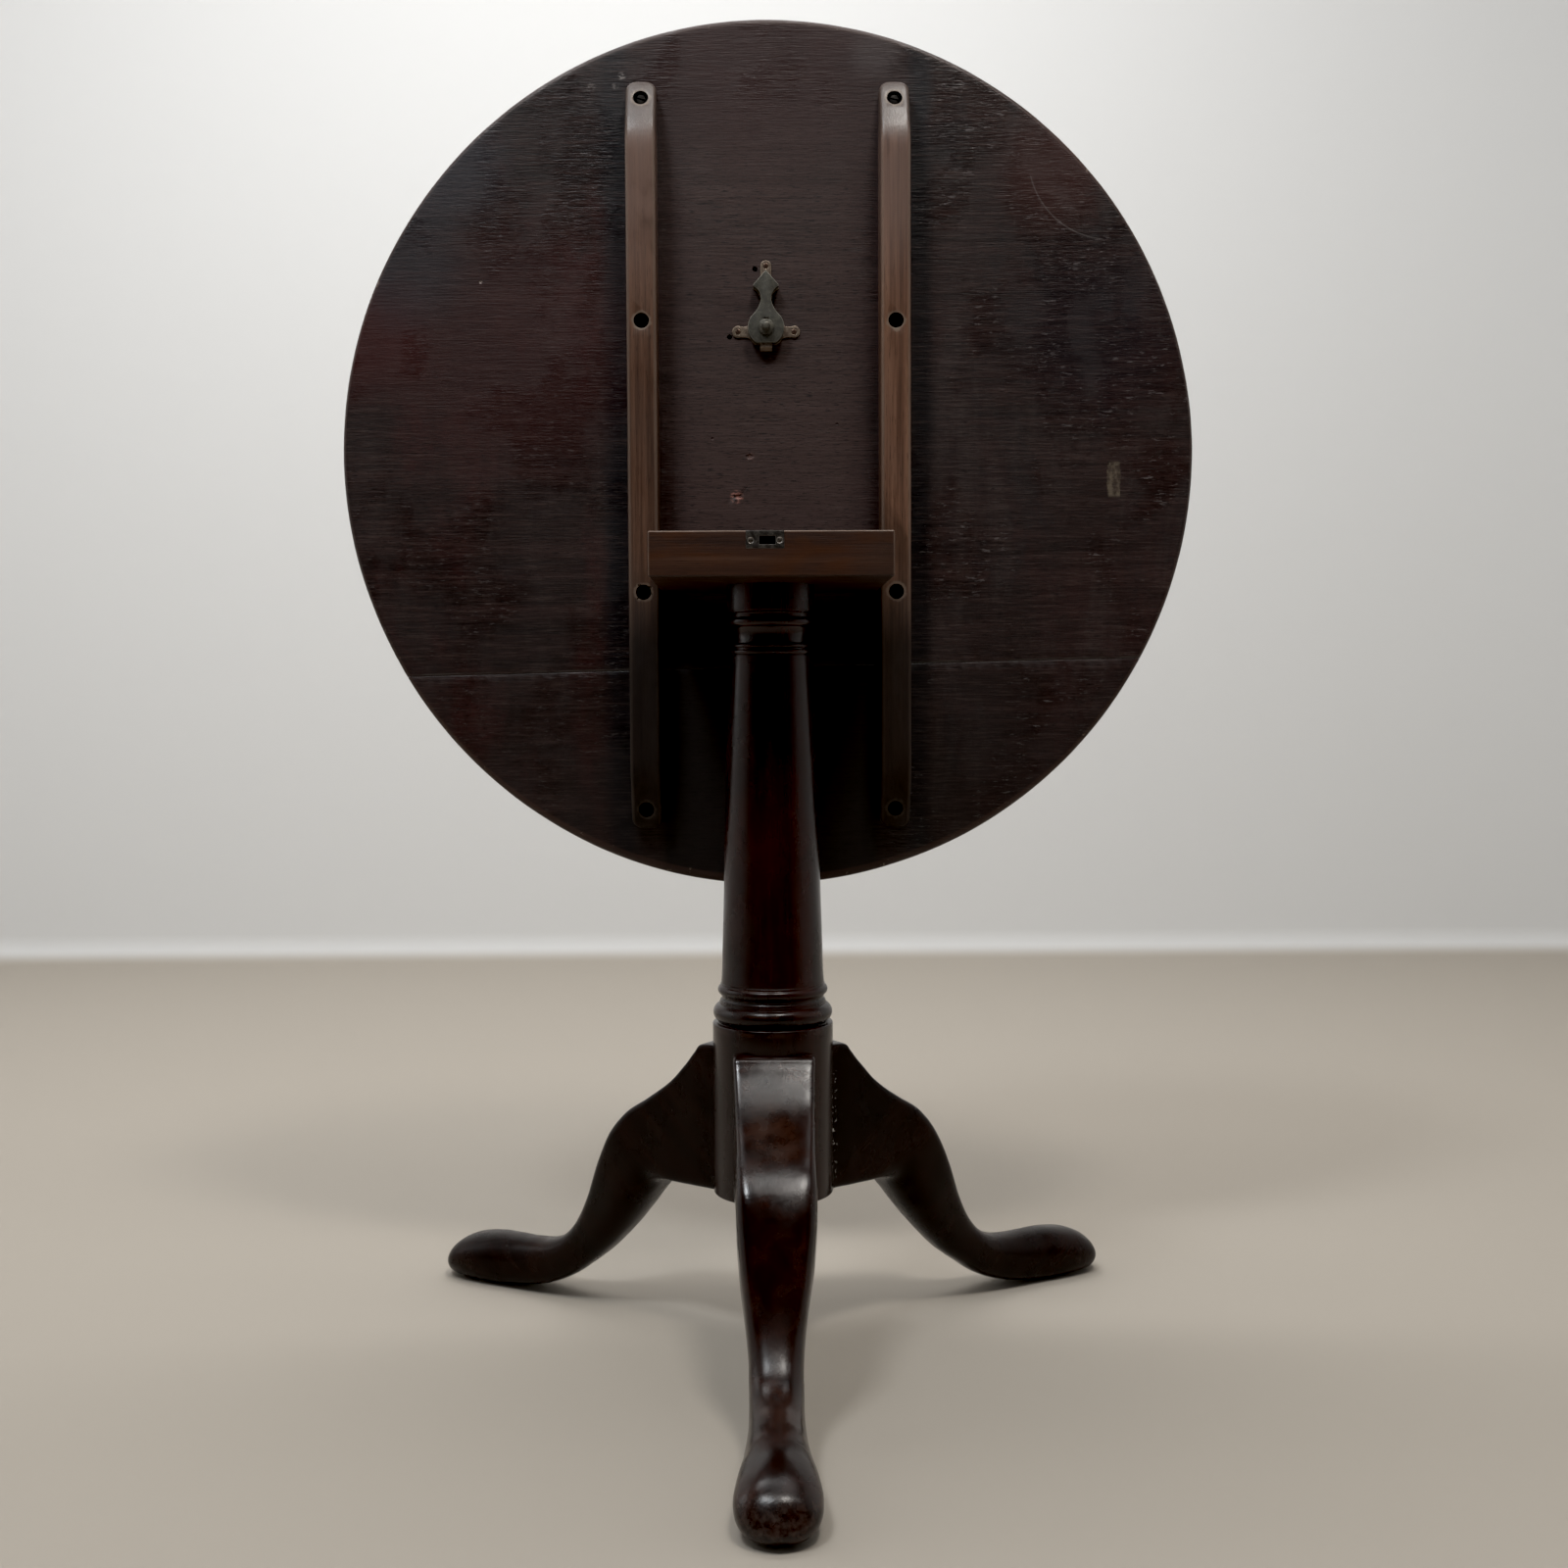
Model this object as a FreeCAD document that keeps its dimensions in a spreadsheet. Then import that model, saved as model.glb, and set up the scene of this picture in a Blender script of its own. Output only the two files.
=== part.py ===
import FreeCAD, Part
import math
import os
import re

import Sketcher

# Tilt top table: a round top of two boards on two bearers, hinged on a block on top of a turned column
# with three cabriole legs. Millimetres. The origin is on the floor under the column's axis, +Z is up,
# -Y is the front, and the top stands tilted up behind the column.

doc = FreeCAD.newDocument("tilt_top_table")

# ---- Driving dimensions ----
DIMENSIONS = {
    # round top
    "top_radius": 390, "top_thickness": 19.5, "underside_y": 111, "top_centre_height": 787.2,
    "rim_rounding": 4.5, "joint_below_centre": 193.1, "joint_slope": 1.2,
    # bearers
    "bearer_inner": 100.5, "bearer_width": 27, "bearer_depth": 34, "bearer_foot": 445,
    "bearer_head": 1120, "ramp_length": 52, "ramp_end_depth": 12, "ramp_end_radius": 4,
    "bearer_arris": 3.5,
    # screws of the bearers
    "counterbore_radius": 6.8, "wood_under_head": 12, "screw_radius": 2.0, "screw_clearance_radius": 2.25,
    "screw_head_radius": 4.2, "screw_head_height": 2.8, "screw_in_board": 12,
    "screw_line_1": 463, "screw_line_2": 660, "screw_line_3": 902, "screw_line_4": 1102.5,
    "slot_width": 1.0, "slot_share_of_head": 0.5,
    # pivot block, its trunnions and its seat on the column
    "pivot_offset": 18, "block_half_width": 98, "block_front": 111, "block_foot": 661,
    "block_gap": 0.3, "trunnion_radius": 8, "trunnion_clearance": 0.08, "trunnion_reach": 127,
    "pivot_height": 679.3, "tenon_radius": 19, "wedge_width": 3, "wedge_depth": 28,
    # strike plate on the block's front edge
    "strike_centre": -5, "strike_half_width": 15.2, "strike_foot": 682.9, "strike_flange": 9,
    "strike_thickness": 1.6, "strike_proud": 0.2, "strike_slot_centre": -3.1, "strike_slot_half": 6.5,
    "strike_slot_foot": 686, "strike_slot_height": 6.8, "strike_mortise": 8,
    "strike_screw_left": -16.4, "strike_screw_right": 6.6, "strike_screw_height": 689.4,
    # turned column, from the floor up; each arc is the radius of a moulding's own curve
    "drum_radius": 52, "drum_foot": 136, "drum_top": 280, "drum_arc": 6, "groove_radius": 49.9,
    "groove_height": 285, "torus_foot_radius": 50.3, "torus_foot": 286, "torus_arc": 8,
    "torus_top_radius": 48.6, "torus_top": 298.5, "cove_foot_radius": 46.2, "cove_foot": 302,
    "cove_arc": 6, "cove_top_radius": 44.4, "cove_top": 307, "bead_foot_radius": 45.4, "bead_arc": 7,
    "bead_top": 318, "shaft_foot_radius": 44.3, "shaft_foot": 321,
    "shaft_lower_radius": 41.7, "shaft_lower": 385, "shaft_middle_radius": 39.1, "shaft_middle": 502,
    "shaft_top_radius": 34.8, "shaft_top": 598, "astragal_foot": 602, "astragal_arc": 6,
    "astragal_top_radius": 33.5, "astragal_top": 612, "neck_arc": 9, "neck_top_radius": 33.4,
    "neck_top": 623.5, "ring_foot_radius": 35, "ring_arc": 6.4, "ring_top": 635,
    "collar_radius": 37.4, "collar_foot": 640,
    # legs: the way each one points, anticlockwise from +X, and its sliding dovetail in the drum
    "front_leg_way": 270, "rear_right_leg_way": 34, "rear_left_leg_way": 146,
    "tongue_root_half": 8, "tongue_tip_half": 12, "tongue_depth": 16, "tongue_top": 250,
    "tongue_mouth": 2,
    # spring catch on the underside, along the top's own height, and outwards from the underside
    "catch_centre": -2.4, "catch_plate_thickness": 1.5,
    "catch_foot": 887, "catch_lug_head": 958, "catch_lug_radius": 5, "catch_side_lug": 25.6,
    "catch_side_lug_radius": 5.4, "catch_disc_height": 901, "catch_disc_radius": 16.5,
    "catch_flare_half": 13.2, "catch_flare_height": 910.9,
    "catch_side_height": 898.5, "catch_waist_half": 4.6, "catch_waist_height": 926,
    "catch_diamond_half": 11.5, "catch_diamond_height": 938.8, "catch_diamond_top": 952,
    "catch_case_depth": 9.5, "bolt_half_width": 5.4, "bolt_end": 880,
    "bolt_shoulder": 889.5, "bolt_back": 912, "bolt_depth": 7.6, "nose_low": 5.4, "nose_high": 9.1,
    "nose_bevel": 3.2, "bolt_travel": 6, "bolt_floor": 2, "knob_stem_radius": 2.6,
    "knob_radius": 7.2, "knob_height": 7.5, "knob_rounding": 2.2, "knob_gap": 0.3,
    "spring_wire_radius": 0.45, "spring_radius": 2.2, "channel_gap": 0.1,
    "spring_channel_half": 2.9, "spring_end": 938, "spring_turns": 8,
    # small screws of the catch and the strike
    "small_screw_radius": 1.2, "small_screw_head_radius": 2.6, "small_screw_head_height": 1.0,
    "small_screw_length": 11,
    # how far a cut runs past the edge that it opens
    "overcut": 1,
}

# Sections across the cabriole leg, from its root to its toe. Each runs from a point on the sole's side to
# one on the top side, both given as a place out from the column's axis and a height.
LEG_SECTIONS = [
    # top out, top height, sole out, sole height, half width, squareness (2 is an ellipse)
    (36, 262, 36, 136, 34.5, 6), (58, 259, 60, 136, 33.4, 5), (71, 245, 76, 136, 32, 5),
    (90, 227, 94, 136, 31.2, 5), (116, 209, 107, 134, 30.6, 4), (142, 193, 115, 128, 30.8, 3.6),
    (163, 171, 126, 115, 30.6, 3.2), (180, 142, 142, 95, 28.6, 2.8), (196, 107, 163, 71, 24.7, 2.6),
    (212.5, 79.5, 184.5, 50.5, 21.5, 2.5), (231, 61, 206, 34.5, 20.6, 2.5), (252, 51.5, 231, 18, 20.6, 2.4),
    (273, 48.5, 261, 7, 22, 2.4), (297, 47.5, 295, 1.5, 25, 2.4), (322, 46, 322, 0, 29, 2.5),
    (347, 41.5, 346, 0, 31, 2.5), (364, 33.5, 362, 0.5, 27.5, 2.4), (374, 22, 372, 4, 17.5, 2.2),
    (379, 13.5, 378.5, 10.5, 4, 2)]
SECTION_SIZES = ("top_out", "top_height", "sole_out", "sole_height", "half_width", "squareness")

sheet = doc.addObject("Spreadsheet::Sheet", "Dims")
stations = {"%s_%d" % (size, index): number for index, section in enumerate(LEG_SECTIONS)
            for size, number in zip(SECTION_SIZES, section)}
for row, (name, value) in enumerate({**DIMENSIONS, **stations}.items(), start=1):
    sheet.set("A%d" % row, name)
    sheet.set("B%d" % row, str(value))
    sheet.setAlias("B%d" % row, name)
doc.recompute()


# ---- Helpers ----
def value(expression):
    """The present value of an expression written with the sheet's aliases."""
    return float(sheet.evalExpression(str(expression)))


def bound(expression):
    """The same expression as another object has to write it, with the sheet's name before each alias."""
    return re.sub(r"[a-z]\w*(?!\w*\()", lambda found: "Dims." + found.group(0), str(expression))


def bind(target, path, expression, unit=""):
    """Ties a property or a constraint to the sheet."""
    target.setExpression(path, "(%s)%s" % (bound(expression), unit))


def new_body(name):
    body = doc.addObject("PartDesign::Body", name)
    body.Label = name
    return body


def new_sketch(body, role, name, offset=("0", "0", "0"), turn="0"):
    """A sketch on one of the body's own origin planes, moved and turned in that plane's own axes."""
    sketch = body.newObject("Sketcher::SketchObject", name)
    plane = next(feature for feature in body.Origin.OriginFeatures if feature.Role == role)
    sketch.AttachmentSupport = [(plane, "")]
    sketch.MapMode = "FlatFace"
    sketch.AttachmentOffset = FreeCAD.Placement(FreeCAD.Vector(0, 0, 0),
                                                FreeCAD.Rotation(value(turn), 0, 0))
    for axis, expression in zip("xyz", offset):
        if value(expression):
            bind(sketch, "AttachmentOffset.Base." + axis, expression)
    return sketch


def place_point(sketch, geometry, end, across, up):
    """Holds a point of the sketch at two distances from the sketch's origin."""
    for kind, expression, axis in (("DistanceX", across, -2), ("DistanceY", up, -1)):
        if value(expression) == 0:
            sketch.addConstraint(Sketcher.Constraint("PointOnObject", geometry, end, axis))
            continue
        number = sketch.addConstraint(
            Sketcher.Constraint(kind, -1, 1, geometry, end, value(expression)))
        bind(sketch, "Constraints[%d]" % number, expression, " * 1 mm")


def arc_between(start, end, radius):
    """A minor arc from start to end, to the left of the chord's middle if radius is positive."""
    chord = end - start
    across = FreeCAD.Vector(chord.y, -chord.x, 0).normalize()
    rise = math.sqrt(max(radius ** 2 - (chord.Length / 2) ** 2, 0))
    centre = (start + end) / 2 + across * (rise if radius > 0 else -rise)
    circle = Part.Circle(centre, FreeCAD.Vector(0, 0, 1), abs(radius))
    first, last = (end, start) if radius > 0 else (start, end)
    angles = [math.atan2((p - centre).y, (p - centre).x) for p in (first, last)]
    return Part.ArcOfCircle(circle, *angles)


def outline(sketch, points):
    """A closed outline through points, each (across, up) or (across, up, radius of the arc to the next)."""
    flat = [FreeCAD.Vector(value(p[0]), value(p[1]), 0) for p in points]
    ends = []
    for index, point in enumerate(points):
        start, end = flat[index], flat[(index + 1) % len(flat)]
        if len(point) == 2:
            geometry = sketch.addGeometry(Part.LineSegment(start, end), False)
            ends.append((geometry, 1, 2))
        else:
            radius = value(point[2])
            geometry = sketch.addGeometry(arc_between(start, end, radius), False)
            ends.append((geometry, 2, 1) if radius > 0 else (geometry, 1, 2))
            number = sketch.addConstraint(Sketcher.Constraint("Radius", geometry, abs(radius)))
            bind(sketch, "Constraints[%d]" % number, point[2] if radius > 0 else "-(%s)" % point[2],
                 " * 1 mm")
    for index, (geometry, start, end) in enumerate(ends):
        following = ends[(index + 1) % len(ends)]
        sketch.addConstraint(Sketcher.Constraint("Coincident", geometry, end, following[0], following[1]))
        place_point(sketch, geometry, start, points[index][0], points[index][1])


def rectangle(sketch, left, low, right, high):
    outline(sketch, [(left, low), (right, low), (right, high), (left, high)])


def circle(sketch, across, up, radius):
    centre = FreeCAD.Vector(value(across), value(up), 0)
    geometry = sketch.addGeometry(Part.Circle(centre, FreeCAD.Vector(0, 0, 1), value(radius)), False)
    number = sketch.addConstraint(Sketcher.Constraint("Radius", geometry, value(radius)))
    bind(sketch, "Constraints[%d]" % number, radius, " * 1 mm")
    place_point(sketch, geometry, 3, across, up)


def pad(body, sketch, length, both=False, back=False):
    """A pad along the sketch's normal, or against it, or half to each side."""
    feature = body.newObject("PartDesign::Pad", sketch.Name + "_pad")
    feature.Profile = sketch
    bind(feature, "Length", length)
    feature.Midplane = both
    feature.Reversed = back
    doc.recompute()
    return feature


def pocket(body, sketch, depth=None, both=False, back=False):
    """A pocket against the sketch's normal, or along it, or through all of the solid both ways."""
    before = body.Shape.Volume
    feature = body.newObject("PartDesign::Pocket", sketch.Name + "_pocket")
    feature.Profile = sketch
    feature.Midplane = both
    feature.Reversed = back
    if depth is None:
        feature.Type = "ThroughAll"
    else:
        bind(feature, "Length", depth)
    doc.recompute()
    assert body.Shape.Volume < before - 0.01, sketch.Name + " cuts nothing"
    return feature


def soften(body, radius, chosen):
    """Rounds the edges of the body's solid that chosen picks."""
    shape = body.Shape
    names = ["Edge%d" % number for number, edge in enumerate(shape.Edges, start=1) if chosen(edge)]
    base = body.Tip
    feature = body.newObject("PartDesign::Fillet", body.Name + "_fillet")
    feature.Base = (base, names)
    bind(feature, "Radius", radius)
    doc.recompute()
    return feature


# ---- The round top: two boards joined edge to edge, lying on the plane y = underside_y ----
SCREW_LINES = ["screw_line_1", "screw_line_2", "screw_line_3", "screw_line_4"]
BEARER_MIDDLE = "(bearer_inner + bearer_width / 2)"
PIVOT_Y = "(underside_y - pivot_offset)"


def make_board(name, wide, pilot_lines):
    body = new_body(name)
    sketch = new_sketch(body, "XZ_Plane", name + "_outline", ("0", "top_centre_height", "-underside_y"))
    radius, drop = value("top_radius"), value("joint_below_centre")
    slope, half = math.radians(value("joint_slope")), math.acos(drop / radius)
    right, left = -math.pi / 2 + slope + half, -math.pi / 2 + slope - half
    ends = [FreeCAD.Vector(radius * math.cos(a), radius * math.sin(a), 0) for a in (right, left)]
    rim = Part.Circle(FreeCAD.Vector(0, 0, 0), FreeCAD.Vector(0, 0, 1), radius)
    arc = (right, left + 2 * math.pi) if wide else (left, right)
    sketch.addGeometry(Part.ArcOfCircle(rim, *arc), False)
    sketch.addGeometry(Part.LineSegment(ends[1], ends[0]), False)
    sketch.addConstraint(Sketcher.Constraint("Coincident", 0, 3, -1, 1))
    sketch.addConstraint(Sketcher.Constraint("Coincident", 0, 2 if wide else 1, 1, 1))
    sketch.addConstraint(Sketcher.Constraint("Coincident", 0, 1 if wide else 2, 1, 2))
    numbers = [sketch.addConstraint(Sketcher.Constraint("Radius", 0, radius)),
               sketch.addConstraint(Sketcher.Constraint("Distance", -1, 1, 1, drop)),
               sketch.addConstraint(Sketcher.Constraint("Angle", 1, slope))]
    for number, alias, unit in zip(numbers, ("top_radius", "joint_below_centre", "joint_slope"),
                                   (" * 1 mm", " * 1 mm", " * 1 deg")):
        bind(sketch, "Constraints[%d]" % number, alias, unit)
    pad(body, sketch, "top_thickness", back=True)
    on_rim = [value("underside_y"), value("underside_y + top_thickness")]
    soften(body, "rim_rounding", lambda edge: isinstance(edge.Curve, Part.Circle)
           and min(abs(edge.CenterOfMass.y - y) for y in on_rim) < 0.01)
    pilots = new_sketch(body, "XZ_Plane", name + "_pilots", ("0", "0", "-underside_y"))
    for line in pilot_lines:
        for side in ("-", ""):
            circle(pilots, side + BEARER_MIDDLE, line, "screw_radius")
    pocket(body, pilots, "screw_in_board")
    return body


wide_board = make_board("top_board_wide", True, SCREW_LINES[1:])
narrow_board = make_board("top_board_narrow", False, SCREW_LINES[:1])

# ---- Bearers: two battens up the underside, with a ramp at each end ----
def make_bearer(name, side):
    body = new_body(name)
    sketch = new_sketch(body, "YZ_Plane", name + "_outline", ("0", "0", side + BEARER_MIDDLE))
    end, front = "underside_y - ramp_end_depth", "underside_y - bearer_depth"
    inner_end = end + " + ramp_end_radius"
    outline(sketch, [("underside_y", "bearer_foot"), (inner_end, "bearer_foot", "ramp_end_radius"),
                     (end, "bearer_foot + ramp_end_radius"), (front, "bearer_foot + ramp_length"),
                     (front, "bearer_head - ramp_length"),
                     (end, "bearer_head - ramp_end_radius", "ramp_end_radius"),
                     (inner_end, "bearer_head"), ("underside_y", "bearer_head")])
    pad(body, sketch, "bearer_width", both=True)
    soften(body, "bearer_arris", lambda edge: edge.BoundBox.XLength < 0.01
           and edge.BoundBox.ZLength > value("ramp_end_radius") + 1 and edge.CenterOfMass.y < value(end))
    bore = new_sketch(body, "YZ_Plane", name + "_bore", ("0", "0", side + BEARER_MIDDLE))
    circle(bore, PIVOT_Y, "pivot_height", "trunnion_radius + trunnion_clearance")
    pocket(body, bore, both=True)
    for kind, radius, depth in (("counterbores", "counterbore_radius", "bearer_depth - wood_under_head"),
                                ("clearance", "screw_clearance_radius", "bearer_depth")):
        holes = new_sketch(body, "XZ_Plane", "%s_%s" % (name, kind), ("0", "0", "-(%s)" % front))
        for line in SCREW_LINES:
            circle(holes, side + BEARER_MIDDLE, line, radius)
        pocket(body, holes, depth)
    return body


bearers = [make_bearer("left_bearer", "-"), make_bearer("right_bearer", "")]

# ---- Pivot block: a trunnion out of each end, the tenon through it, a strike let into its front ----
BLOCK_TOP = "(pivot_height + pivot_offset - block_gap)"

block = new_body("pivot_block")
block_outline = new_sketch(block, "YZ_Plane", "block_outline")
outline(block_outline, [("-block_front", "block_foot"), ("underside_y - block_gap", "block_foot"),
                        ("underside_y - block_gap", "pivot_height", "-(pivot_offset - block_gap)"),
                        (PIVOT_Y, BLOCK_TOP), ("-block_front", BLOCK_TOP)])
pad(block, block_outline, "2 * block_half_width", both=True)
trunnions = new_sketch(block, "YZ_Plane", "trunnions")
circle(trunnions, PIVOT_Y, "pivot_height", "trunnion_radius")
pad(block, trunnions, "2 * trunnion_reach", both=True)
tenon_hole = new_sketch(block, "XY_Plane", "tenon_hole", ("0", "0", "block_foot"))
circle(tenon_hole, "0", "0", "tenon_radius")
pocket(block, tenon_hole, both=True)

STRIKE_LEFT, STRIKE_RIGHT = "strike_centre - strike_half_width", "strike_centre + strike_half_width"
SLOT_LEFT = "strike_slot_centre - strike_slot_half"
SLOT_RIGHT = "strike_slot_centre + strike_slot_half"
SLOT_TOP = "strike_slot_foot + strike_slot_height"
leaf_seat = new_sketch(block, "XZ_Plane", "leaf_seat", ("0", "0", "block_front"))
rectangle(leaf_seat, STRIKE_LEFT, "strike_foot", STRIKE_RIGHT, BLOCK_TOP + " + overcut")
pocket(block, leaf_seat, "strike_thickness - strike_proud")
flange_seat = new_sketch(block, "XY_Plane", "flange_seat", ("0", "0", BLOCK_TOP))
rectangle(flange_seat, STRIKE_LEFT, "-block_front - overcut", STRIKE_RIGHT,
          "strike_flange - block_front")
pocket(block, flange_seat, "strike_thickness")
mortise = new_sketch(block, "XZ_Plane", "mortise", ("0", "0", "block_front"))
rectangle(mortise, SLOT_LEFT, "strike_slot_foot", SLOT_RIGHT, SLOT_TOP)
pocket(block, mortise, "strike_mortise")
strike_pilots = new_sketch(block, "XZ_Plane", "strike_pilots", ("0", "0", "block_front"))
for across in ("strike_screw_left", "strike_screw_right"):
    circle(strike_pilots, across, "strike_screw_height", "small_screw_radius")
pocket(block, strike_pilots, "small_screw_length - strike_proud")

strike = new_body("strike_plate")
strike_outline = new_sketch(strike, "YZ_Plane", "strike_outline", ("0", "0", "strike_centre"))
STRIKE_FRONT = "-(block_front + strike_proud)"
LEAF_BACK = STRIKE_FRONT + " + strike_thickness"
FLANGE_FOOT = BLOCK_TOP + " - strike_thickness"
outline(strike_outline, [(STRIKE_FRONT, "strike_foot"), (LEAF_BACK, "strike_foot"),
                         (LEAF_BACK, FLANGE_FOOT), ("strike_flange - block_front", FLANGE_FOOT),
                         ("strike_flange - block_front", BLOCK_TOP), (STRIKE_FRONT, BLOCK_TOP)])
pad(strike, strike_outline, "2 * strike_half_width", both=True)
strike_slot = new_sketch(strike, "XZ_Plane", "strike_slot", ("0", "0", "-(%s)" % STRIKE_FRONT))
rectangle(strike_slot, SLOT_LEFT, "strike_slot_foot", SLOT_RIGHT, SLOT_TOP)
pocket(strike, strike_slot, "strike_thickness")
for kind, radius, depth in (("heads", "small_screw_head_radius", "small_screw_head_height"),
                            ("shanks", "small_screw_radius", "strike_thickness")):
    holes = new_sketch(strike, "XZ_Plane", "strike_" + kind, ("0", "0", "-(%s)" % STRIKE_FRONT))
    for across in ("strike_screw_left", "strike_screw_right"):
        circle(holes, across, "strike_screw_height", radius)
    pocket(strike, holes, depth)

# ---- Turned column, with a wedged tenon at its head and three dovetail sockets in its drum ----
column = new_body("column")
turning = new_sketch(column, "XZ_Plane", "turning")
outline(turning, [
    ("0", "drum_foot"), ("drum_radius", "drum_foot"), ("drum_radius", "drum_top", "-drum_arc"),
    ("groove_radius", "groove_height"), ("torus_foot_radius", "torus_foot", "-torus_arc"),
    ("torus_top_radius", "torus_top"), ("cove_foot_radius", "torus_top"),
    ("cove_foot_radius", "cove_foot", "cove_arc"), ("cove_top_radius", "cove_top"),
    ("bead_foot_radius", "cove_top", "-bead_arc"), ("bead_foot_radius", "bead_top"),
    ("shaft_foot_radius", "shaft_foot"), ("shaft_lower_radius", "shaft_lower"),
    ("shaft_middle_radius", "shaft_middle"),
    ("shaft_top_radius", "shaft_top"), ("shaft_top_radius", "astragal_foot", "-astragal_arc"),
    ("astragal_top_radius", "astragal_top", "neck_arc"), ("neck_top_radius", "neck_top"),
    ("ring_foot_radius", "neck_top", "-ring_arc"), ("ring_foot_radius", "ring_top"),
    ("ring_foot_radius", "collar_foot"), ("collar_radius", "collar_foot"),
    ("collar_radius", "block_foot"), ("tenon_radius", "block_foot"), ("tenon_radius", BLOCK_TOP),
    ("0", BLOCK_TOP)])
turned = column.newObject("PartDesign::Revolution", "turned")
turned.Profile = turning
turned.ReferenceAxis = (turning, ["V_Axis"])
turned.Angle = 360
doc.recompute()

kerf = new_sketch(column, "XY_Plane", "kerf", ("0", "0", BLOCK_TOP))
rectangle(kerf, "-wedge_width / 2", "-tenon_radius - overcut", "wedge_width / 2",
          "tenon_radius + overcut")
pocket(column, kerf, "wedge_depth")

# The dovetail's plan lies along the sketch's own X, from its tip inside the drum to just outside the drum
TIP, MOUTH = "(drum_radius - tongue_depth)", "(drum_radius + tongue_mouth)"
MOUTH_HALF = ("(tongue_root_half - tongue_mouth * (tongue_tip_half - tongue_root_half)"
              " / tongue_depth)")
LEG_NAMES = ["front_leg", "rear_right_leg", "rear_left_leg"]


def dovetail(body, name, turn="0"):
    sketch = new_sketch(body, "XY_Plane", name, ("0", "0", "drum_foot"), turn)
    outline(sketch, [(TIP, "-tongue_tip_half"), (MOUTH, "-" + MOUTH_HALF), (MOUTH, MOUTH_HALF),
                     (TIP, "tongue_tip_half")])
    return sketch


for leg_name in LEG_NAMES:
    socket = dovetail(column, leg_name + "_socket", leg_name + "_way")
    pocket(column, socket, "tongue_top - drum_foot", back=True)

wedge = new_body("tenon_wedge")
wedge_plan = new_sketch(wedge, "XY_Plane", "wedge_plan", ("0", "0", BLOCK_TOP))
WEDGE_END = "sqrt(tenon_radius ^ 2 - (wedge_width / 2) ^ 2)"
outline(wedge_plan, [("-wedge_width / 2", "-" + WEDGE_END, "-tenon_radius"),
                     ("wedge_width / 2", "-" + WEDGE_END),
                     ("wedge_width / 2", WEDGE_END, "-tenon_radius"), ("-wedge_width / 2", WEDGE_END)])
pad(wedge, wedge_plan, "wedge_depth", back=True)


# ---- Legs: one shape, lying out along +X in its own frame, turned to three directions ----
def leg_section(body, name, index):
    """A rounded closed curve across the leg, in a plane that leans with the leg."""
    top_out, top_height, sole_out, sole_height, half_width, squareness = (
        value("%s_%d" % (size, index)) for size in SECTION_SIZES)
    lean = math.atan2(top_out - sole_out, top_height - sole_height)
    half_depth = math.hypot(top_out - sole_out, top_height - sole_height) / 2
    sketch = new_sketch(body, "YZ_Plane", "%s_section_%d" % (name, index))
    middle = FreeCAD.Vector(0, (top_height + sole_height) / 2, (top_out + sole_out) / 2)
    sketch.AttachmentOffset = FreeCAD.Placement(
        middle, FreeCAD.Rotation(FreeCAD.Vector(1, 0, 0), math.degrees(lean)))
    points = []
    for step in range(24):
        turn = math.radians(step * 15)
        across, up = (math.copysign(abs(part) ** (2 / squareness), part)
                      for part in (math.cos(turn), math.sin(turn)))
        points.append(FreeCAD.Vector(half_width * across, half_depth * up, 0))
    curve = Part.BSplineCurve()
    curve.interpolate(points, PeriodicFlag=True)
    sketch.addGeometry(curve, False)
    return sketch


def make_leg(name):
    body = new_body(name)
    sections = [leg_section(body, name, index) for index in range(len(LEG_SECTIONS))]
    doc.recompute()
    loft = body.newObject("PartDesign::AdditiveLoft", name + "_loft")
    loft.Profile = sections[0]
    loft.Sections = sections[1:]
    doc.recompute()
    shoulder = new_sketch(body, "XY_Plane", name + "_shoulder")
    circle(shoulder, "0", "0", "drum_radius")
    pocket(body, shoulder, both=True)
    pad(body, dovetail(body, name + "_tongue"), "tongue_top - drum_foot")
    body.Placement.Rotation = FreeCAD.Rotation(value(name + "_way"), 0, 0)
    return body


legs = [make_leg(name) for name in LEG_NAMES]

# ---- Spring catch on the underside: its own outwards direction is -Y, away from the underside ----
PLATE_FACE = "(underside_y - catch_plate_thickness)"
CASE_FACE = "(underside_y - catch_plate_thickness - catch_case_depth)"
SMALL_SCREWS = [("0", "catch_lug_head"), ("-catch_side_lug", "catch_side_height"),
                ("catch_side_lug", "catch_side_height")]


def catch_sketch(body, name, plane_y):
    return new_sketch(body, "XZ_Plane", name, ("catch_centre", "0", "-" + plane_y))


def keyhole(body, name, plane_y, depth):
    """The outline that the catch's plate and case share: a disc, a flare to a waist, and a diamond."""
    disc = catch_sketch(body, name + "_disc", plane_y)
    circle(disc, "0", "catch_disc_height", "catch_disc_radius")
    pad(body, disc, depth)
    flare = catch_sketch(body, name + "_flare", plane_y)
    waist = ("catch_waist_half", "catch_waist_height")
    shoulder = ("catch_flare_half", "catch_flare_height")
    outline(flare, [("-" + shoulder[0], shoulder[1]), shoulder, waist, ("-" + waist[0], waist[1])])
    pad(body, flare, depth)
    head = catch_sketch(body, name + "_head", plane_y)
    outline(head, [("-" + waist[0], waist[1]), waist, ("catch_diamond_half", "catch_diamond_height"),
                   ("0", "catch_diamond_top"), ("-catch_diamond_half", "catch_diamond_height")])
    pad(body, head, depth)
    foot = catch_sketch(body, name + "_foot", plane_y)
    rectangle(foot, "-catch_disc_radius", "catch_foot - catch_disc_radius", "catch_disc_radius", "catch_foot")
    pocket(body, foot, depth, back=True)


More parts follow.
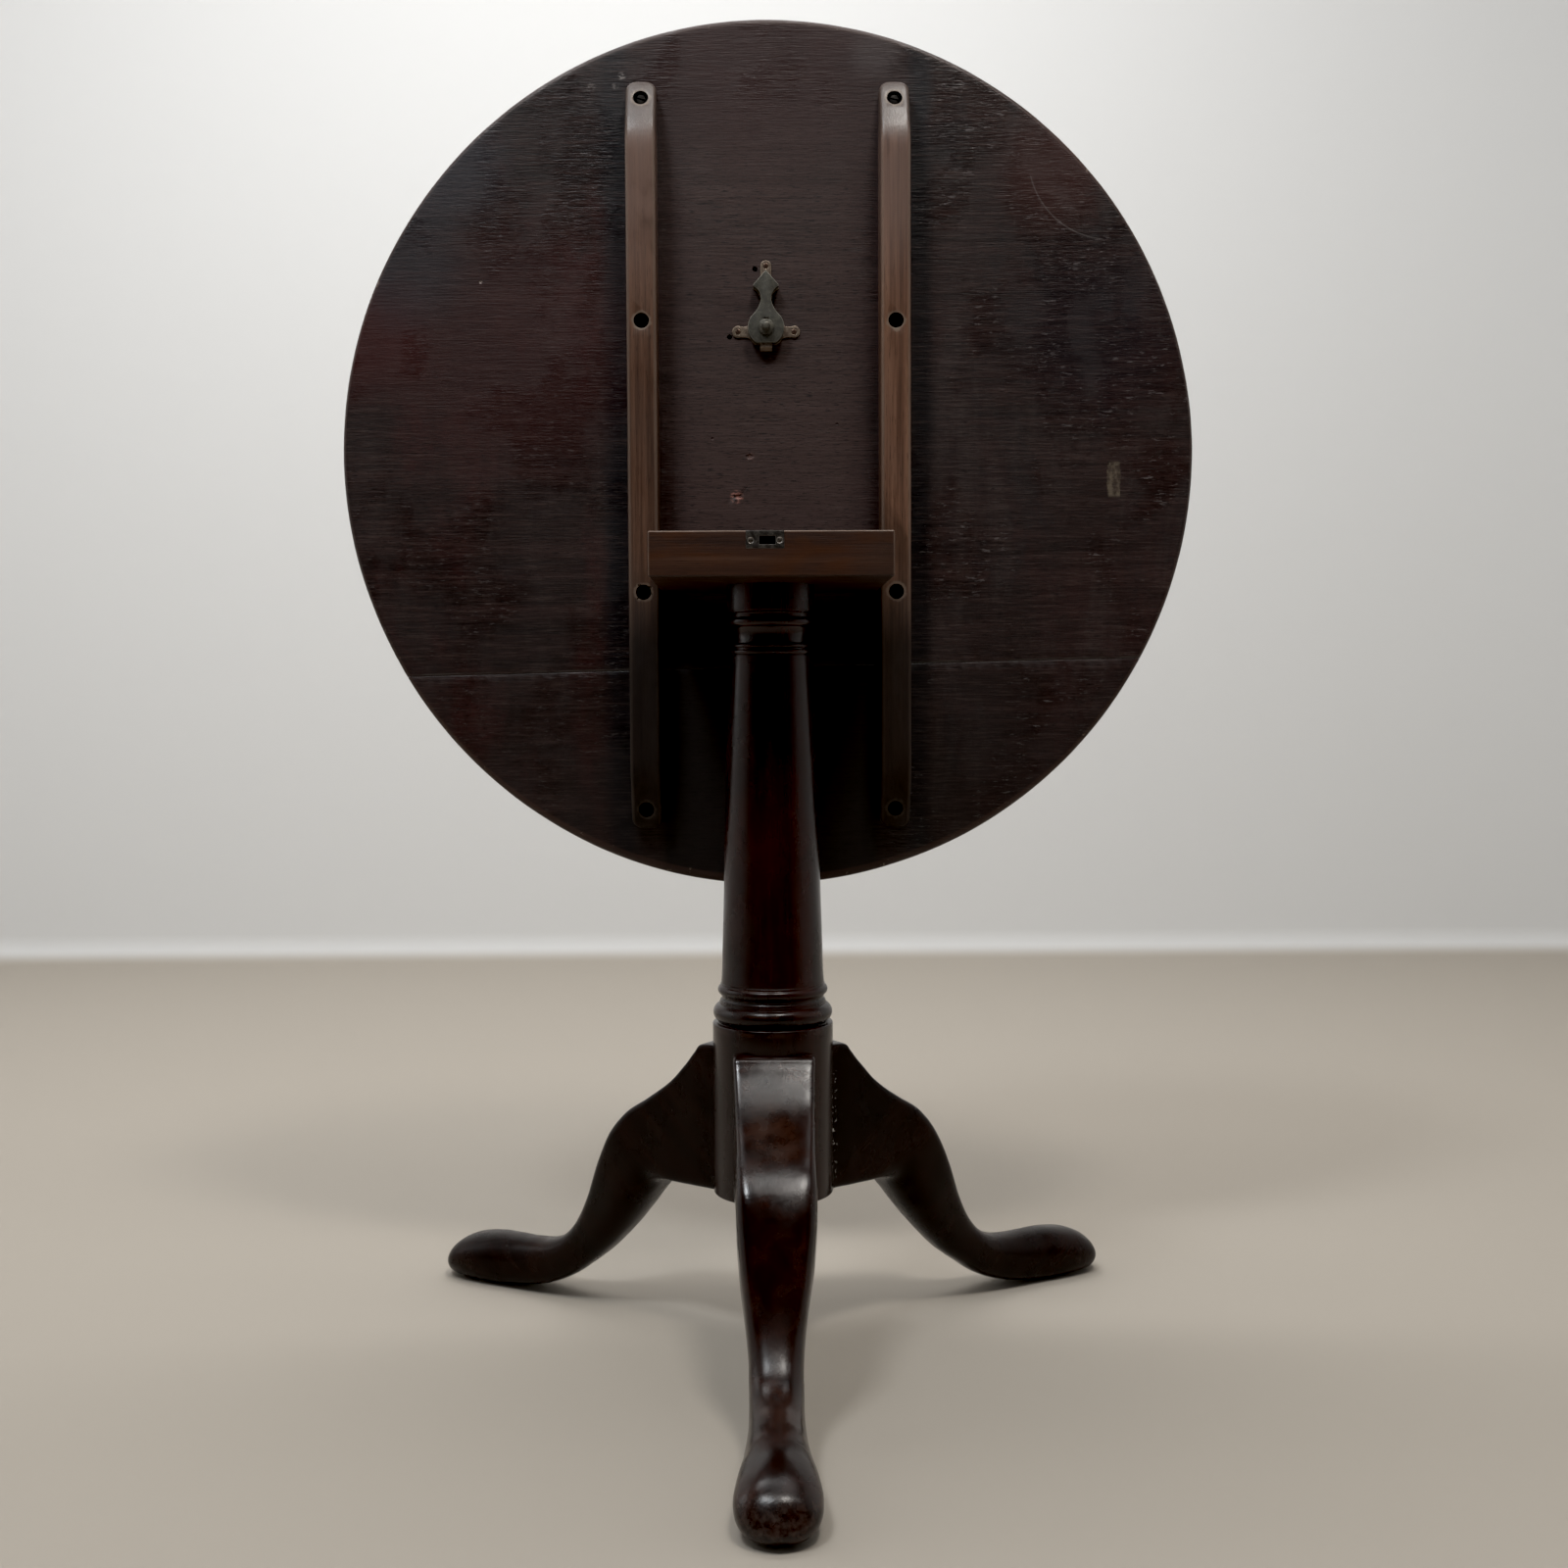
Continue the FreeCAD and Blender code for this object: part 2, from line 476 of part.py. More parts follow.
plate = new_body("catch_base_plate")
keyhole(plate, "plate", "underside_y", "catch_plate_thickness")
for name, across, up, radius in (("top", "0", "catch_lug_head", "catch_lug_radius"),
                                 ("left", "-catch_side_lug", "catch_side_height", "catch_side_lug_radius"),
                                 ("right", "catch_side_lug", "catch_side_height", "catch_side_lug_radius")):
    neck = catch_sketch(plate, name + "_lug_neck", "underside_y")
    if name == "top":
        rectangle(neck, "-" + radius, "catch_diamond_height", radius, up)
    else:
        rectangle(neck, *(["0", up + " - " + radius, across, up + " + " + radius] if name == "right"
                          else [across, up + " - " + radius, "0", up + " + " + radius]))
    pad(plate, neck, "catch_plate_thickness")
    lug = catch_sketch(plate, name + "_lug", "underside_y")
    circle(lug, across, up, radius)
    pad(plate, lug, "catch_plate_thickness")
for kind, radius, depth in (("heads", "small_screw_head_radius", "small_screw_head_height"),
                            ("shanks", "small_screw_radius", "catch_plate_thickness")):
    holes = catch_sketch(plate, "plate_" + kind, PLATE_FACE)
    for across, up in SMALL_SCREWS:
        circle(holes, across, up, radius)
    pocket(plate, holes, depth)
catch_pilots = catch_sketch(wide_board, "catch_pilots", "underside_y")
for across, up in SMALL_SCREWS:
    circle(catch_pilots, across, up, "small_screw_radius")
pocket(wide_board, catch_pilots, "small_screw_length - catch_plate_thickness")

case = new_body("catch_case")
keyhole(case, "case", PLATE_FACE, "catch_case_depth")
CHANNEL_HALF = "bolt_half_width + channel_gap"
CHANNEL_DEPTH = "bolt_depth + 2 * channel_gap"
channel = catch_sketch(case, "bolt_channel", PLATE_FACE)
rectangle(channel, "-(%s)" % CHANNEL_HALF, "bolt_shoulder - channel_gap", CHANNEL_HALF,
          "bolt_back + bolt_travel + channel_gap")
pocket(case, channel, CHANNEL_DEPTH, back=True)
spring_channel = catch_sketch(case, "spring_channel", PLATE_FACE)
rectangle(spring_channel, "-spring_channel_half", "bolt_back", "spring_channel_half", "spring_end")
pocket(case, spring_channel, CHANNEL_DEPTH, back=True)
nose_way = new_sketch(case, "XY_Plane", "nose_way", ("catch_centre", "0", "catch_foot"))
rectangle(nose_way, "-(%s)" % CHANNEL_HALF, "underside_y - nose_high - channel_gap", CHANNEL_HALF,
          "underside_y - nose_low + channel_gap")
pocket(case, nose_way, "bolt_shoulder - catch_foot", back=True)
knob_slot = catch_sketch(case, "knob_slot", CASE_FACE)
KNOB_WAY = "(knob_stem_radius + channel_gap)"
rectangle(knob_slot, "-" + KNOB_WAY, "catch_disc_height - " + KNOB_WAY, KNOB_WAY,
          "catch_disc_height + bolt_travel + " + KNOB_WAY)
pocket(case, knob_slot, "catch_case_depth - bolt_depth")

bolt = new_body("catch_bolt")
BOLT_FACE = "(underside_y - catch_plate_thickness - channel_gap)"
bolt_back = catch_sketch(bolt, "bolt_back_part", BOLT_FACE)
rectangle(bolt_back, "-bolt_half_width", "bolt_shoulder", "bolt_half_width", "bolt_back")
pad(bolt, bolt_back, "bolt_depth")
nose = catch_sketch(bolt, "nose", "(underside_y - nose_low)")
rectangle(nose, "-bolt_half_width", "bolt_end", "bolt_half_width", "bolt_shoulder")
pad(bolt, nose, "nose_high - nose_low")
bevelled = bolt.Tip
edges = ["Edge%d" % n for n, edge in enumerate(bolt.Shape.Edges, start=1)
         if abs(edge.CenterOfMass.z - value("bolt_end")) < 0.01
         and abs(edge.CenterOfMass.y - value("underside_y - nose_high")) < 0.01]
bevel = bolt.newObject("PartDesign::Chamfer", "nose_bevel")
bevel.Base = (bevelled, edges)
bind(bevel, "Size", "nose_bevel")
doc.recompute()
stem_hole = catch_sketch(bolt, "stem_hole", "(%s - bolt_depth)" % BOLT_FACE)
circle(stem_hole, "0", "catch_disc_height", "knob_stem_radius")
STEM_IN_BOLT = "(bolt_depth - bolt_floor)"
pocket(bolt, stem_hole, STEM_IN_BOLT)

knob = new_body("catch_knob")
KNOB_FACE = "(underside_y - catch_plate_thickness - catch_case_depth - knob_gap)"
stem = catch_sketch(knob, "stem", KNOB_FACE)
circle(stem, "0", "catch_disc_height", "knob_stem_radius")
pad(knob, stem, "catch_case_depth + knob_gap - channel_gap - bolt_depth + " + STEM_IN_BOLT, back=True)
boss = catch_sketch(knob, "boss", KNOB_FACE)
circle(boss, "0", "catch_disc_height", "knob_radius")
pad(knob, boss, "knob_height")
soften(knob, "knob_rounding", lambda edge: isinstance(edge.Curve, Part.Circle)
       and abs(edge.CenterOfMass.y - value(KNOB_FACE + " - knob_height")) < 0.01)

spring = new_body("catch_spring")
coil_start = new_sketch(spring, "XZ_Plane", "coil_start", (
    "catch_centre", "bolt_back + spring_wire_radius + channel_gap",
    "-(%s - bolt_depth / 2)" % BOLT_FACE))
circle(coil_start, "spring_radius", "0", "spring_wire_radius")
coil = spring.newObject("PartDesign::AdditiveHelix", "coil")
coil.Profile = coil_start
coil.ReferenceAxis = (coil_start, ["V_Axis"])
coil.Mode = "height-turns-angle"
bind(coil, "Height", "spring_end - bolt_back - 2 * (spring_wire_radius + channel_gap)")
coil.Turns = value("spring_turns")
doc.recompute()


# ---- Slotted wood screws: their shanks run along +Y from the face that the head sits in ----
def make_screws(name, places, face, head_radius, head_height, shank_radius, length):
    """One node of identical screws; face is the y of the head's outer face."""
    screws = []
    for number, (across, up) in enumerate(places, start=1):
        parts = []
        for kind, radius, height in (("head", head_radius, head_height), ("shank", shank_radius, length)):
            cylinder = doc.addObject("Part::Cylinder", "%s_%s_%d" % (name, kind, number))
            cylinder.Placement.Rotation = FreeCAD.Rotation(FreeCAD.Vector(1, 0, 0), -90)
            for path, expression in (("Radius", radius), ("Height", height),
                                     ("Placement.Base.x", across), ("Placement.Base.y", face),
                                     ("Placement.Base.z", up)):
                bind(cylinder, path, expression)
            parts.append(cylinder)
        whole = doc.addObject("Part::Fuse", "%s_whole_%d" % (name, number))
        whole.Base, whole.Tool = parts
        slot = doc.addObject("Part::Box", "%s_slot_%d" % (name, number))
        for path, expression in (("Length", "slot_width"), ("Width", "slot_share_of_head * " + head_height),
                                 ("Height", "2 * " + head_radius),
                                 ("Placement.Base.x", across + " - slot_width / 2"),
                                 ("Placement.Base.y", face),
                                 ("Placement.Base.z", "%s - %s" % (up, head_radius))):
            bind(slot, path, expression)
        screw = doc.addObject("Part::Cut", "%s_%d" % (name, number))
        screw.Base, screw.Tool = whole, slot
        screws.append(screw)
    node = doc.addObject("Part::Compound", name)
    node.Label = name
    node.Links = screws
    doc.recompute()
    return node


HEAD_FACE = "underside_y - wood_under_head - screw_head_height"
screw_nodes = [make_screws(name, [(side + BEARER_MIDDLE, line) for line in SCREW_LINES], HEAD_FACE,
                           "screw_head_radius", "screw_head_height", "screw_radius",
                           "screw_head_height + wood_under_head + screw_in_board")
               for name, side in (("left_bearer_screws", "-"), ("right_bearer_screws", ""))]
screw_nodes.append(make_screws(
    "catch_screws", [("catch_centre + " + across, up) for across, up in SMALL_SCREWS], PLATE_FACE,
    "small_screw_head_radius", "small_screw_head_height", "small_screw_radius", "small_screw_length"))
screw_nodes.append(make_screws(
    "strike_screws", [(across, "strike_screw_height") for across in ("strike_screw_left",
                                                                    "strike_screw_right")],
    STRIKE_FRONT, "small_screw_head_radius", "small_screw_head_height", "small_screw_radius",
    "small_screw_length"))

# ---- Check everything, then write one file for each sub-part ----
NODES = [wide_board, narrow_board, *bearers, block, column, wedge, *legs, plate, case, bolt, knob, spring,
         strike, *screw_nodes]
doc.recompute()
for thing in doc.Objects:
    failed = {"Invalid", "Error"} & set(thing.State)
    assert not failed, "%s: %s" % (thing.Label, failed)
for node in NODES:
    shape = node.Shape
    assert not shape.isNull() and shape.isValid() and shape.Volume > 0, node.Label + " has no valid shape"
os.makedirs("parts", exist_ok=True)
for node in NODES:
    node.Shape.exportStep("parts/%s.step" % node.Label)
    print(node.Label, len(node.Shape.Solids), "solids", round(node.Shape.Volume / 1000, 2), "cm3")
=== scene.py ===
import math

import bmesh
import bpy
from mathutils import Matrix, Vector, noise


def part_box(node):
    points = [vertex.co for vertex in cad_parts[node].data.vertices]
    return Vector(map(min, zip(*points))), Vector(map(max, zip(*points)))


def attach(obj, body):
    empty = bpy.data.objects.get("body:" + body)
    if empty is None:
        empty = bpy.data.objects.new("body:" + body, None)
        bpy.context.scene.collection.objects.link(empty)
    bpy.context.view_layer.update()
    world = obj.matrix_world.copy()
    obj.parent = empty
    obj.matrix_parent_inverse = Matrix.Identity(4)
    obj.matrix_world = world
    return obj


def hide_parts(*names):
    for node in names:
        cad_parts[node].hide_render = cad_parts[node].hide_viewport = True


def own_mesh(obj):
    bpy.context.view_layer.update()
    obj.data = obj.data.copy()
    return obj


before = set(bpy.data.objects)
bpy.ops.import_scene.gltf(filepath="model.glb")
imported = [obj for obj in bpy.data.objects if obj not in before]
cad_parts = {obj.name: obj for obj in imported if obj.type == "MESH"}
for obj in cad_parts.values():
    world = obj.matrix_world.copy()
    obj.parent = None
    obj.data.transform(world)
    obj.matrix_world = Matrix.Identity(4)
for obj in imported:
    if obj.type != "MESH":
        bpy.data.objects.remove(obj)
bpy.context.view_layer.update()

# Tilt top table: every piece below stands for one CAD node, in the same frame. Sizes are in millimetres
# here and become metres in each mesh; +Z is up and -Y is the front, where the camera stands.
MM = 0.001


def box_mm(node):
    low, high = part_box(node)
    return low / MM, high / MM


# ---- Mesh helpers ----
def link(name, mesh):
    obj = bpy.data.objects.new(name, mesh)
    bpy.context.scene.collection.objects.link(obj)
    return obj


def from_bmesh(name, bm):
    mesh = bpy.data.meshes.new(name)
    bmesh.ops.recalc_face_normals(bm, faces=bm.faces)
    bm.to_mesh(mesh)
    bm.free()
    return link(name, mesh)


def finish_mesh(obj, angle=34):
    """Smooth shading, with edges kept sharp where the faces turn by more than angle."""
    mesh = obj.data
    for polygon in mesh.polygons:
        polygon.use_smooth = True
    mesh.set_sharp_from_angle(angle=math.radians(angle))
    return obj


def bridge(bm, rows):
    """Faces between rings of as many points, or of a ring and a single point."""
    count = max(len(row) for row in rows)
    for low, high in zip(rows, rows[1:]):
        for i in range(count):
            j = (i + 1) % count
            corners = [low[i % len(low)], low[j % len(low)], high[j % len(high)], high[i % len(high)]]
            bm.faces.new(list(dict.fromkeys(corners)))


def skin(name, rings):
    """A closed solid through rings of points, all with the same count, capped at both ends."""
    bm = bmesh.new()
    rows = [[bm.verts.new(Vector(point) * MM) for point in ring] for ring in rings]
    bridge(bm, rows)
    bm.faces.new(rows[0])
    bm.faces.new(rows[-1])
    return from_bmesh(name, bm)


def turned(name, profile, segments=96, axis="Z", centre=(0, 0, 0)):
    """A solid of revolution from (radius, place along the axis) points; both ends lie on the axis."""
    bm = bmesh.new()
    turn = {"Z": Matrix.Identity(3), "-Y": Matrix.Rotation(math.radians(90), 3, "X"),
            "X": Matrix.Rotation(math.radians(90), 3, "Y")}[axis]
    rows = []
    for radius, along in profile:
        points = [Vector((radius * math.cos(angle), radius * math.sin(angle), along))
                  for angle in (full_turn(segments) if radius > 0 else [0])]
        rows.append([bm.verts.new((turn @ point + Vector(centre)) * MM) for point in points])
    bridge(bm, rows)
    return from_bmesh(name, bm)


def bevel(bm, edges, width, segments):
    bmesh.ops.bevel(bm, geom=edges, offset=width * MM, offset_type="OFFSET", segments=segments,
                    profile=0.5, affect="EDGES", clamp_overlap=True)


def prism(name, outline, back, front, rounding=0.0):
    """An outline of (x, z) points, solid from y = back to y = front, its front edge rounded."""
    bm = bmesh.new()
    face = bm.faces.new([bm.verts.new(Vector((x, back, z)) * MM) for x, z in outline])
    made = bmesh.ops.extrude_face_region(bm, geom=[face])
    moved = [item for item in made["geom"] if isinstance(item, bmesh.types.BMVert)]
    bmesh.ops.translate(bm, verts=moved, vec=Vector((0, front - back, 0)) * MM)
    if rounding:
        rim = [edge for edge in bm.edges if all(vert in moved for vert in edge.verts)]
        bevel(bm, rim, rounding, 3)
    return from_bmesh(name, bm)


def block_solid(name, low, high):
    """A plain box, used only to cut other pieces."""
    bm = bmesh.new()
    bmesh.ops.create_cube(bm, size=1)
    low, high = Vector(low), Vector(high)
    for vert in bm.verts:
        vert.co = Vector([(low[i] + high[i]) / 2 + vert.co[i] * (high[i] - low[i])
                          for i in range(3)]) * MM
    return from_bmesh(name, bm)


def blob(name, centre, size, seed=0.0):
    """A lumpy ellipsoid, used to cut dents and chips."""
    bm = bmesh.new()
    bmesh.ops.create_icosphere(bm, subdivisions=3, radius=1)
    for vert in bm.verts:
        lump = 1 + 0.22 * noise.noise(vert.co * 1.7 + Vector((seed, 0, 0)))
        vert.co = (Vector(centre) + Vector([vert.co[i] * size[i] * lump for i in range(3)])) * MM
    return from_bmesh(name, bm)


def joined(name, objects):
    """One object from several; the parts stay separate shells."""
    bm = bmesh.new()
    for obj in objects:
        bm.from_mesh(obj.data)
        bpy.data.objects.remove(obj)
    return from_bmesh(name, bm)


def carve(obj, cutters, operation="DIFFERENCE"):
    """Booleans obj with each cutter in turn, and removes the cutters."""
    for cutter in cutters:
        modifier = obj.modifiers.new("cut", "BOOLEAN")
        modifier.operation, modifier.solver, modifier.object = operation, "EXACT", cutter
        depsgraph = bpy.context.evaluated_depsgraph_get()
        result = bpy.data.meshes.new_from_object(obj.evaluated_get(depsgraph))
        obj.modifiers.clear()
        obj.data = result
        bpy.data.objects.remove(cutter)
    return obj


def ease_rims(obj, chosen, width):
    """Bevels the sharp edges whose middle, in millimetres, chosen picks."""
    bm = bmesh.new()
    bm.from_mesh(obj.data)
    rims = [edge for edge in bm.edges if len(edge.link_faces) == 2
            and edge.calc_face_angle(0) > math.radians(40)
            and chosen((edge.verts[0].co + edge.verts[1].co) / 2 / MM)]
    bevel(bm, rims, width, 2)
    bm.to_mesh(obj.data)
    bm.free()
    return obj


def hand_made(obj, size, scale, seed=0.0, keep=lambda point: 1.0):
    """Moves each vertex a little along its normal, as planes, scrapers and wear leave a surface."""
    offset = Vector((seed, seed * 0.7, 0))
    normals = [vert.normal.copy() for vert in obj.data.vertices]
    places = []
    for vert, normal in zip(obj.data.vertices, normals):
        point = vert.co / MM
        places.extend(vert.co + normal * noise.noise(point * scale + offset) * size * MM * keep(point))
    obj.data.vertices.foreach_set("co", places)
    return obj


def set_grain(obj, rows):
    """The vector attribute "grain": each vertex's place along, across and through the wood."""
    turn = Matrix(rows)
    attribute = obj.data.attributes.new("grain", "FLOAT_VECTOR", "POINT")
    values = [number for vert in obj.data.vertices for number in turn @ vert.co]
    attribute.data.foreach_set("vector", values)
    return obj


ALONG_X = ((1, 0, 0), (0, 0, 1), (0, 1, 0))
ALONG_Z = ((0, 0, 1), (1, 0, 0), (0, 1, 0))


def arc(centre, radius, first, last, steps):
    """Points (across, up) on an arc, angles in degrees."""
    return [(centre[0] + radius * math.cos(math.radians(first + (last - first) * i / steps)),
             centre[1] + radius * math.sin(math.radians(first + (last - first) * i / steps)))
            for i in range(steps + 1)]


def bulge(start, end, height, steps):
    """Points from start to end on a shallow curve, to the left of the way by height in its middle."""
    way = Vector(end) - Vector(start)
    left = Vector((-way.y, way.x)).normalized()
    points = []
    for i in range(steps + 1):
        t = i / steps
        point = Vector(start) + way * t + left * height * 4 * t * (1 - t)
        points.append((point.x, point.y))
    return points


def catmull(rows, steps):
    """Smooth rows of numbers through the given rows."""
    out = []
    for i in range(len(rows) - 1):
        a, b, c, d = (rows[min(max(k, 0), len(rows) - 1)] for k in (i - 1, i, i + 1, i + 2))
        for k in range(steps):
            t = k / steps
            out.append([0.5 * (2 * q + (r - p) * t + (2 * p - 5 * q + 4 * r - s) * t * t
                               + (3 * q - p - 3 * r + s) * t ** 3) for p, q, r, s in zip(a, b, c, d)])
    out.append(list(rows[-1]))
    return out


def full_turn(steps):
    """The angles of so many equal steps round a circle."""
    return [2 * math.pi * step / steps for step in range(steps)]


def signed_power(value, power):
    return math.copysign(abs(value) ** power, value)


def smooth_min(a, b, width):
    """The lower of two numbers, with the corner between them rounded over width."""
    h = max(width - abs(a - b), 0) / width
    return min(a, b) - h * h * width / 4


# ---- Material helpers ----
class Socket:
    """A node's output, with the operations that the materials are written in."""

    def __init__(self, tree, socket):
        self.tree, self.socket = tree, socket

    def __add__(self, other):
        return self.tree.math("ADD", self, other)

    def __sub__(self, other):
        return self.tree.math("SUBTRACT", self, other)

    def __mul__(self, other):
        return self.tree.math("MULTIPLY", self, other)

    def __abs__(self):
        return self.tree.math("ABSOLUTE", self)

    def fade(self, start, end):
        """0 where this number is start and 1 where it is end, smoothly."""
        return self.tree.node("ShaderNodeMapRange", {"Value": self, "From Min": start, "From Max": end},
                              "Result", interpolation_type="SMOOTHSTEP")

    def range(self, low, high):
        """Maps this number from 0..1 to low..high."""
        return self.tree.node("ShaderNodeMapRange", {"Value": self, "To Min": low, "To Max": high}, "Result")

    def mix(self, amount, other):
        """This colour where amount is 0, the other where it is 1."""
        return self.tree.mix(amount, self, other)

    def moved(self, offset):
        """This vector with an offset added."""
        return self.tree.node("ShaderNodeVectorMath", {0: self, 1: offset}, operation="ADD")

    def noise(self, scale, detail=3.0, roughness=0.55, distortion=0.0):
        """Noise at this vector, its scale given for each axis."""
        scaled = self.tree.node("ShaderNodeVectorMath", {0: self, 1: scale}, operation="MULTIPLY")
        return self.tree.node("ShaderNodeTexNoise", {"Vector": scaled, "Scale": 1.0, "Detail": detail,
                                                     "Roughness": roughness, "Distortion": distortion})

    def parts(self):
        """This vector's three parts."""
        node = self.tree.new_node("ShaderNodeSeparateXYZ", {0: self})
        return [Socket(self.tree, part) for part in node.outputs]


class Tree:
    """A material's node tree; the methods add nodes."""

    def __init__(self, name):
        self.material = bpy.data.materials.new(name)
        self.material.use_nodes = True
        self.nodes = self.material.node_tree.nodes
        self.shader = next(node for node in self.nodes if node.type == "BSDF_PRINCIPLED")

    def put(self, value, socket):
        """Links or sets one input."""
        if isinstance(value, Socket):
            self.material.node_tree.links.new(value.socket, socket)
        elif socket.type == "RGBA":
            socket.default_value = (*value, 1)
        else:
            socket.default_value = value

    def new_node(self, kind, inputs, **settings):
        """A node with its settings and its inputs, which are given by name or number."""
        node = self.nodes.new(kind)
        for key, setting in settings.items():
            setattr(node, key, setting)
        for key, value in inputs.items():
            self.put(value, node.inputs[key])
        return node

    def node(self, kind, inputs, output=0, **settings):
        return Socket(self, self.new_node(kind, inputs, **settings).outputs[output])

    def math(self, operation, first, second=0.0, clamp=False):
        return self.node("ShaderNodeMath", {0: first, 1: second}, operation=operation, use_clamp=clamp)

    def larger(self, first, second):
        return self.math("MAXIMUM", first, second)

    def lesser(self, first, second):
        return self.math("MINIMUM", first, second)

    def distance(self, across, up):
        return self.math("SQRT", across * across + up * up)

    def blend(self, amount, first, second):
        """The first number where amount is 0, the second where it is 1."""
        return self.node("ShaderNodeMix", {0: amount, 2: first, 3: second}, data_type="FLOAT")

    def mix(self, amount, first, second):
        """The first colour where amount is 0, the second where it is 1."""
        return self.node("ShaderNodeMix", {0: amount, 6: first, 7: second}, 2, data_type="RGBA")

    def ramp(self, value, stops):
        """Colours along 0..1, from (place, colour) stops."""
        node = self.new_node("ShaderNodeValToRGB", {0: value})
        elements = node.color_ramp.elements
        while len(elements) < len(stops):
            elements.new(0.5)
        for element, (place, colour) in zip(elements, stops):
            element.position = place
            element.color = (*colour, 1)
        return Socket(self, node.outputs[0])

    def bump(self, height, distance, strength=1.0):
        return self.node("ShaderNodeBump", {"Height": height, "Distance": distance, "Strength": strength})

    def place(self):
        """The object's own coordinates, in metres, and their three parts."""
        coordinates = self.node("ShaderNodeTexCoord", {}, "Object")
        return (coordinates, *coordinates.parts())

    def grain(self):
        """The mesh's own "grain" attribute: along, across and through the wood."""
        return self.node("ShaderNodeAttribute", {}, "Vector", attribute_name="grain")

    def near(self, across, up, centre, radius, soft):
        """1 inside a circle round centre, fading to 0 over soft, all in metres."""
        return self.distance(across - centre[0], up - centre[1]).fade(radius + soft, radius)

    def finish(self, colour, roughness, normal=None, metallic=0.0, specular=0.5, coat=0.0,
               coat_roughness=0.1):
        settings = {"Base Color": colour, "Roughness": roughness, "Metallic": metallic,
                    "Specular IOR Level": specular, "Coat Weight": coat, "Coat Roughness": coat_roughness}
        if normal is not None:
            settings.update({"Normal": normal, "Coat Normal": normal})
        for key, value in settings.items():
            self.put(value, self.shader.inputs[key])
        return self.material


def wood_colour(tree, dark, middle, light, streak=0.5, seed=0.0):
    """Mahogany: slow bands, fibres and short dark pores along the grain. Returns all three."""
    grain = tree.grain().moved((seed, seed * 0.37, seed * 0.61))
    bands = grain.noise((1.6, 42, 42), 5.0, 0.6, 0.6)
    fibres = grain.noise((9, 620, 620), 4.0, 0.65)
    pores = grain.noise((55, 1500, 1500), 2.0, 0.5)
    colour = tree.ramp(bands, [(0.3, dark), (0.5, middle), (0.72, light)])
    colour = colour.mix(fibres.fade(0.42, 0.68) * streak, light)
    colour = colour.mix(pores.fade(0.6, 0.68) * 0.7, tuple(channel * 0.45 for channel in dark))
    return colour, fibres, pores


def dress(obj, material):
    obj.data.materials.clear()
    obj.data.materials.append(material)
    return obj


def part(obj, material, body, slot, *nodes):
    """Gives a finished piece its material and body, and hides the CAD nodes that it stands for; slot is not
    used.
    """
    dress(obj, material)
    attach(obj, body)
    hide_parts(*nodes)
    return obj


# ---- Camera, floor and light ----
scene = bpy.context.scene
scene.view_settings.view_transform = "Standard"
scene.view_settings.look = "None"
# deep shadows: the darkest tones go to black
scene.view_settings.use_curve_mapping = True
scene.view_settings.curve_mapping.black_level = (0.005, 0.005, 0.005)
scene.view_settings.curve_mapping.update()

CAMERA_PLACE = (-0.0095, -1.4919, 0.5642)
LENS = 39.79
YAW, PITCH, ROLL = (math.radians(angle) for angle in (0.773, 2.835, -0.263))
forward = Vector((math.sin(YAW) * math.cos(PITCH), math.cos(YAW) * math.cos(PITCH), -math.sin(PITCH)))
level = Vector((math.cos(YAW), -math.sin(YAW), 0))
upright = level.cross(forward)
right = level * math.cos(ROLL) + upright * math.sin(ROLL)
up = upright * math.cos(ROLL) - level * math.sin(ROLL)
camera_data = bpy.data.cameras.new("camera")
camera_data.lens = LENS
camera = bpy.data.objects.new("camera", camera_data)
camera.matrix_world = Matrix.Translation(CAMERA_PLACE) @ Matrix(
    (right, up, -forward)).transposed().to_4x4()
scene.collection.objects.link(camera)
scene.camera = camera

# The stage is a floor that turns up into walls all round, far enough out for every camera
ROOM_HALF, ROOM_CENTRE_Y, ROOM_HEIGHT, COVE, WALL = 2400, -150, 4200, 60, 60
FLOOR_COLOUR, DARK_FLOOR_COLOUR = (0.442, 0.4, 0.347), (0.16, 0.15, 0.135)
WALL_COLOUR, GREY_WALL_COLOUR = (0.74, 0.74, 0.735), (0.095, 0.095, 0.095)


def room_ring(half, height):
    """A square with round corners."""
    ring = []
    for angle in full_turn(160):
        across, along = signed_power(math.cos(angle), 0.2), signed_power(math.sin(angle), 0.2)
        ring.append((half * across, ROOM_CENTRE_Y + half * along, height))
    return ring


room = [room_ring(r, z) for r, z in arc((ROOM_HALF - COVE, COVE), COVE, -90, 0, 8)]
room += [room_ring(ROOM_HALF, ROOM_HEIGHT), room_ring(ROOM_HALF + WALL, ROOM_HEIGHT),
         room_ring(ROOM_HALF + WALL, -WALL)]
stage = finish_mesh(skin("studio_stage", room))
tree = Tree("studio_paper")
_, _, y, z = tree.place()
paper = tree.mix(z.fade(0.002, 0.03), FLOOR_COLOUR, WALL_COLOUR)
# the wall behind the camera is grey, and the floor darkens a little towards it
grey_wall = y.fade(-0.55, -1.9) * z.fade(0.002, 0.03)
paper = paper.mix(y.fade(-0.9, -2.3) * 0.6, DARK_FLOOR_COLOUR)
paper = paper.mix(grey_wall, GREY_WALL_COLOUR)
dress(stage, tree.finish(paper, 0.9, specular=0.1))

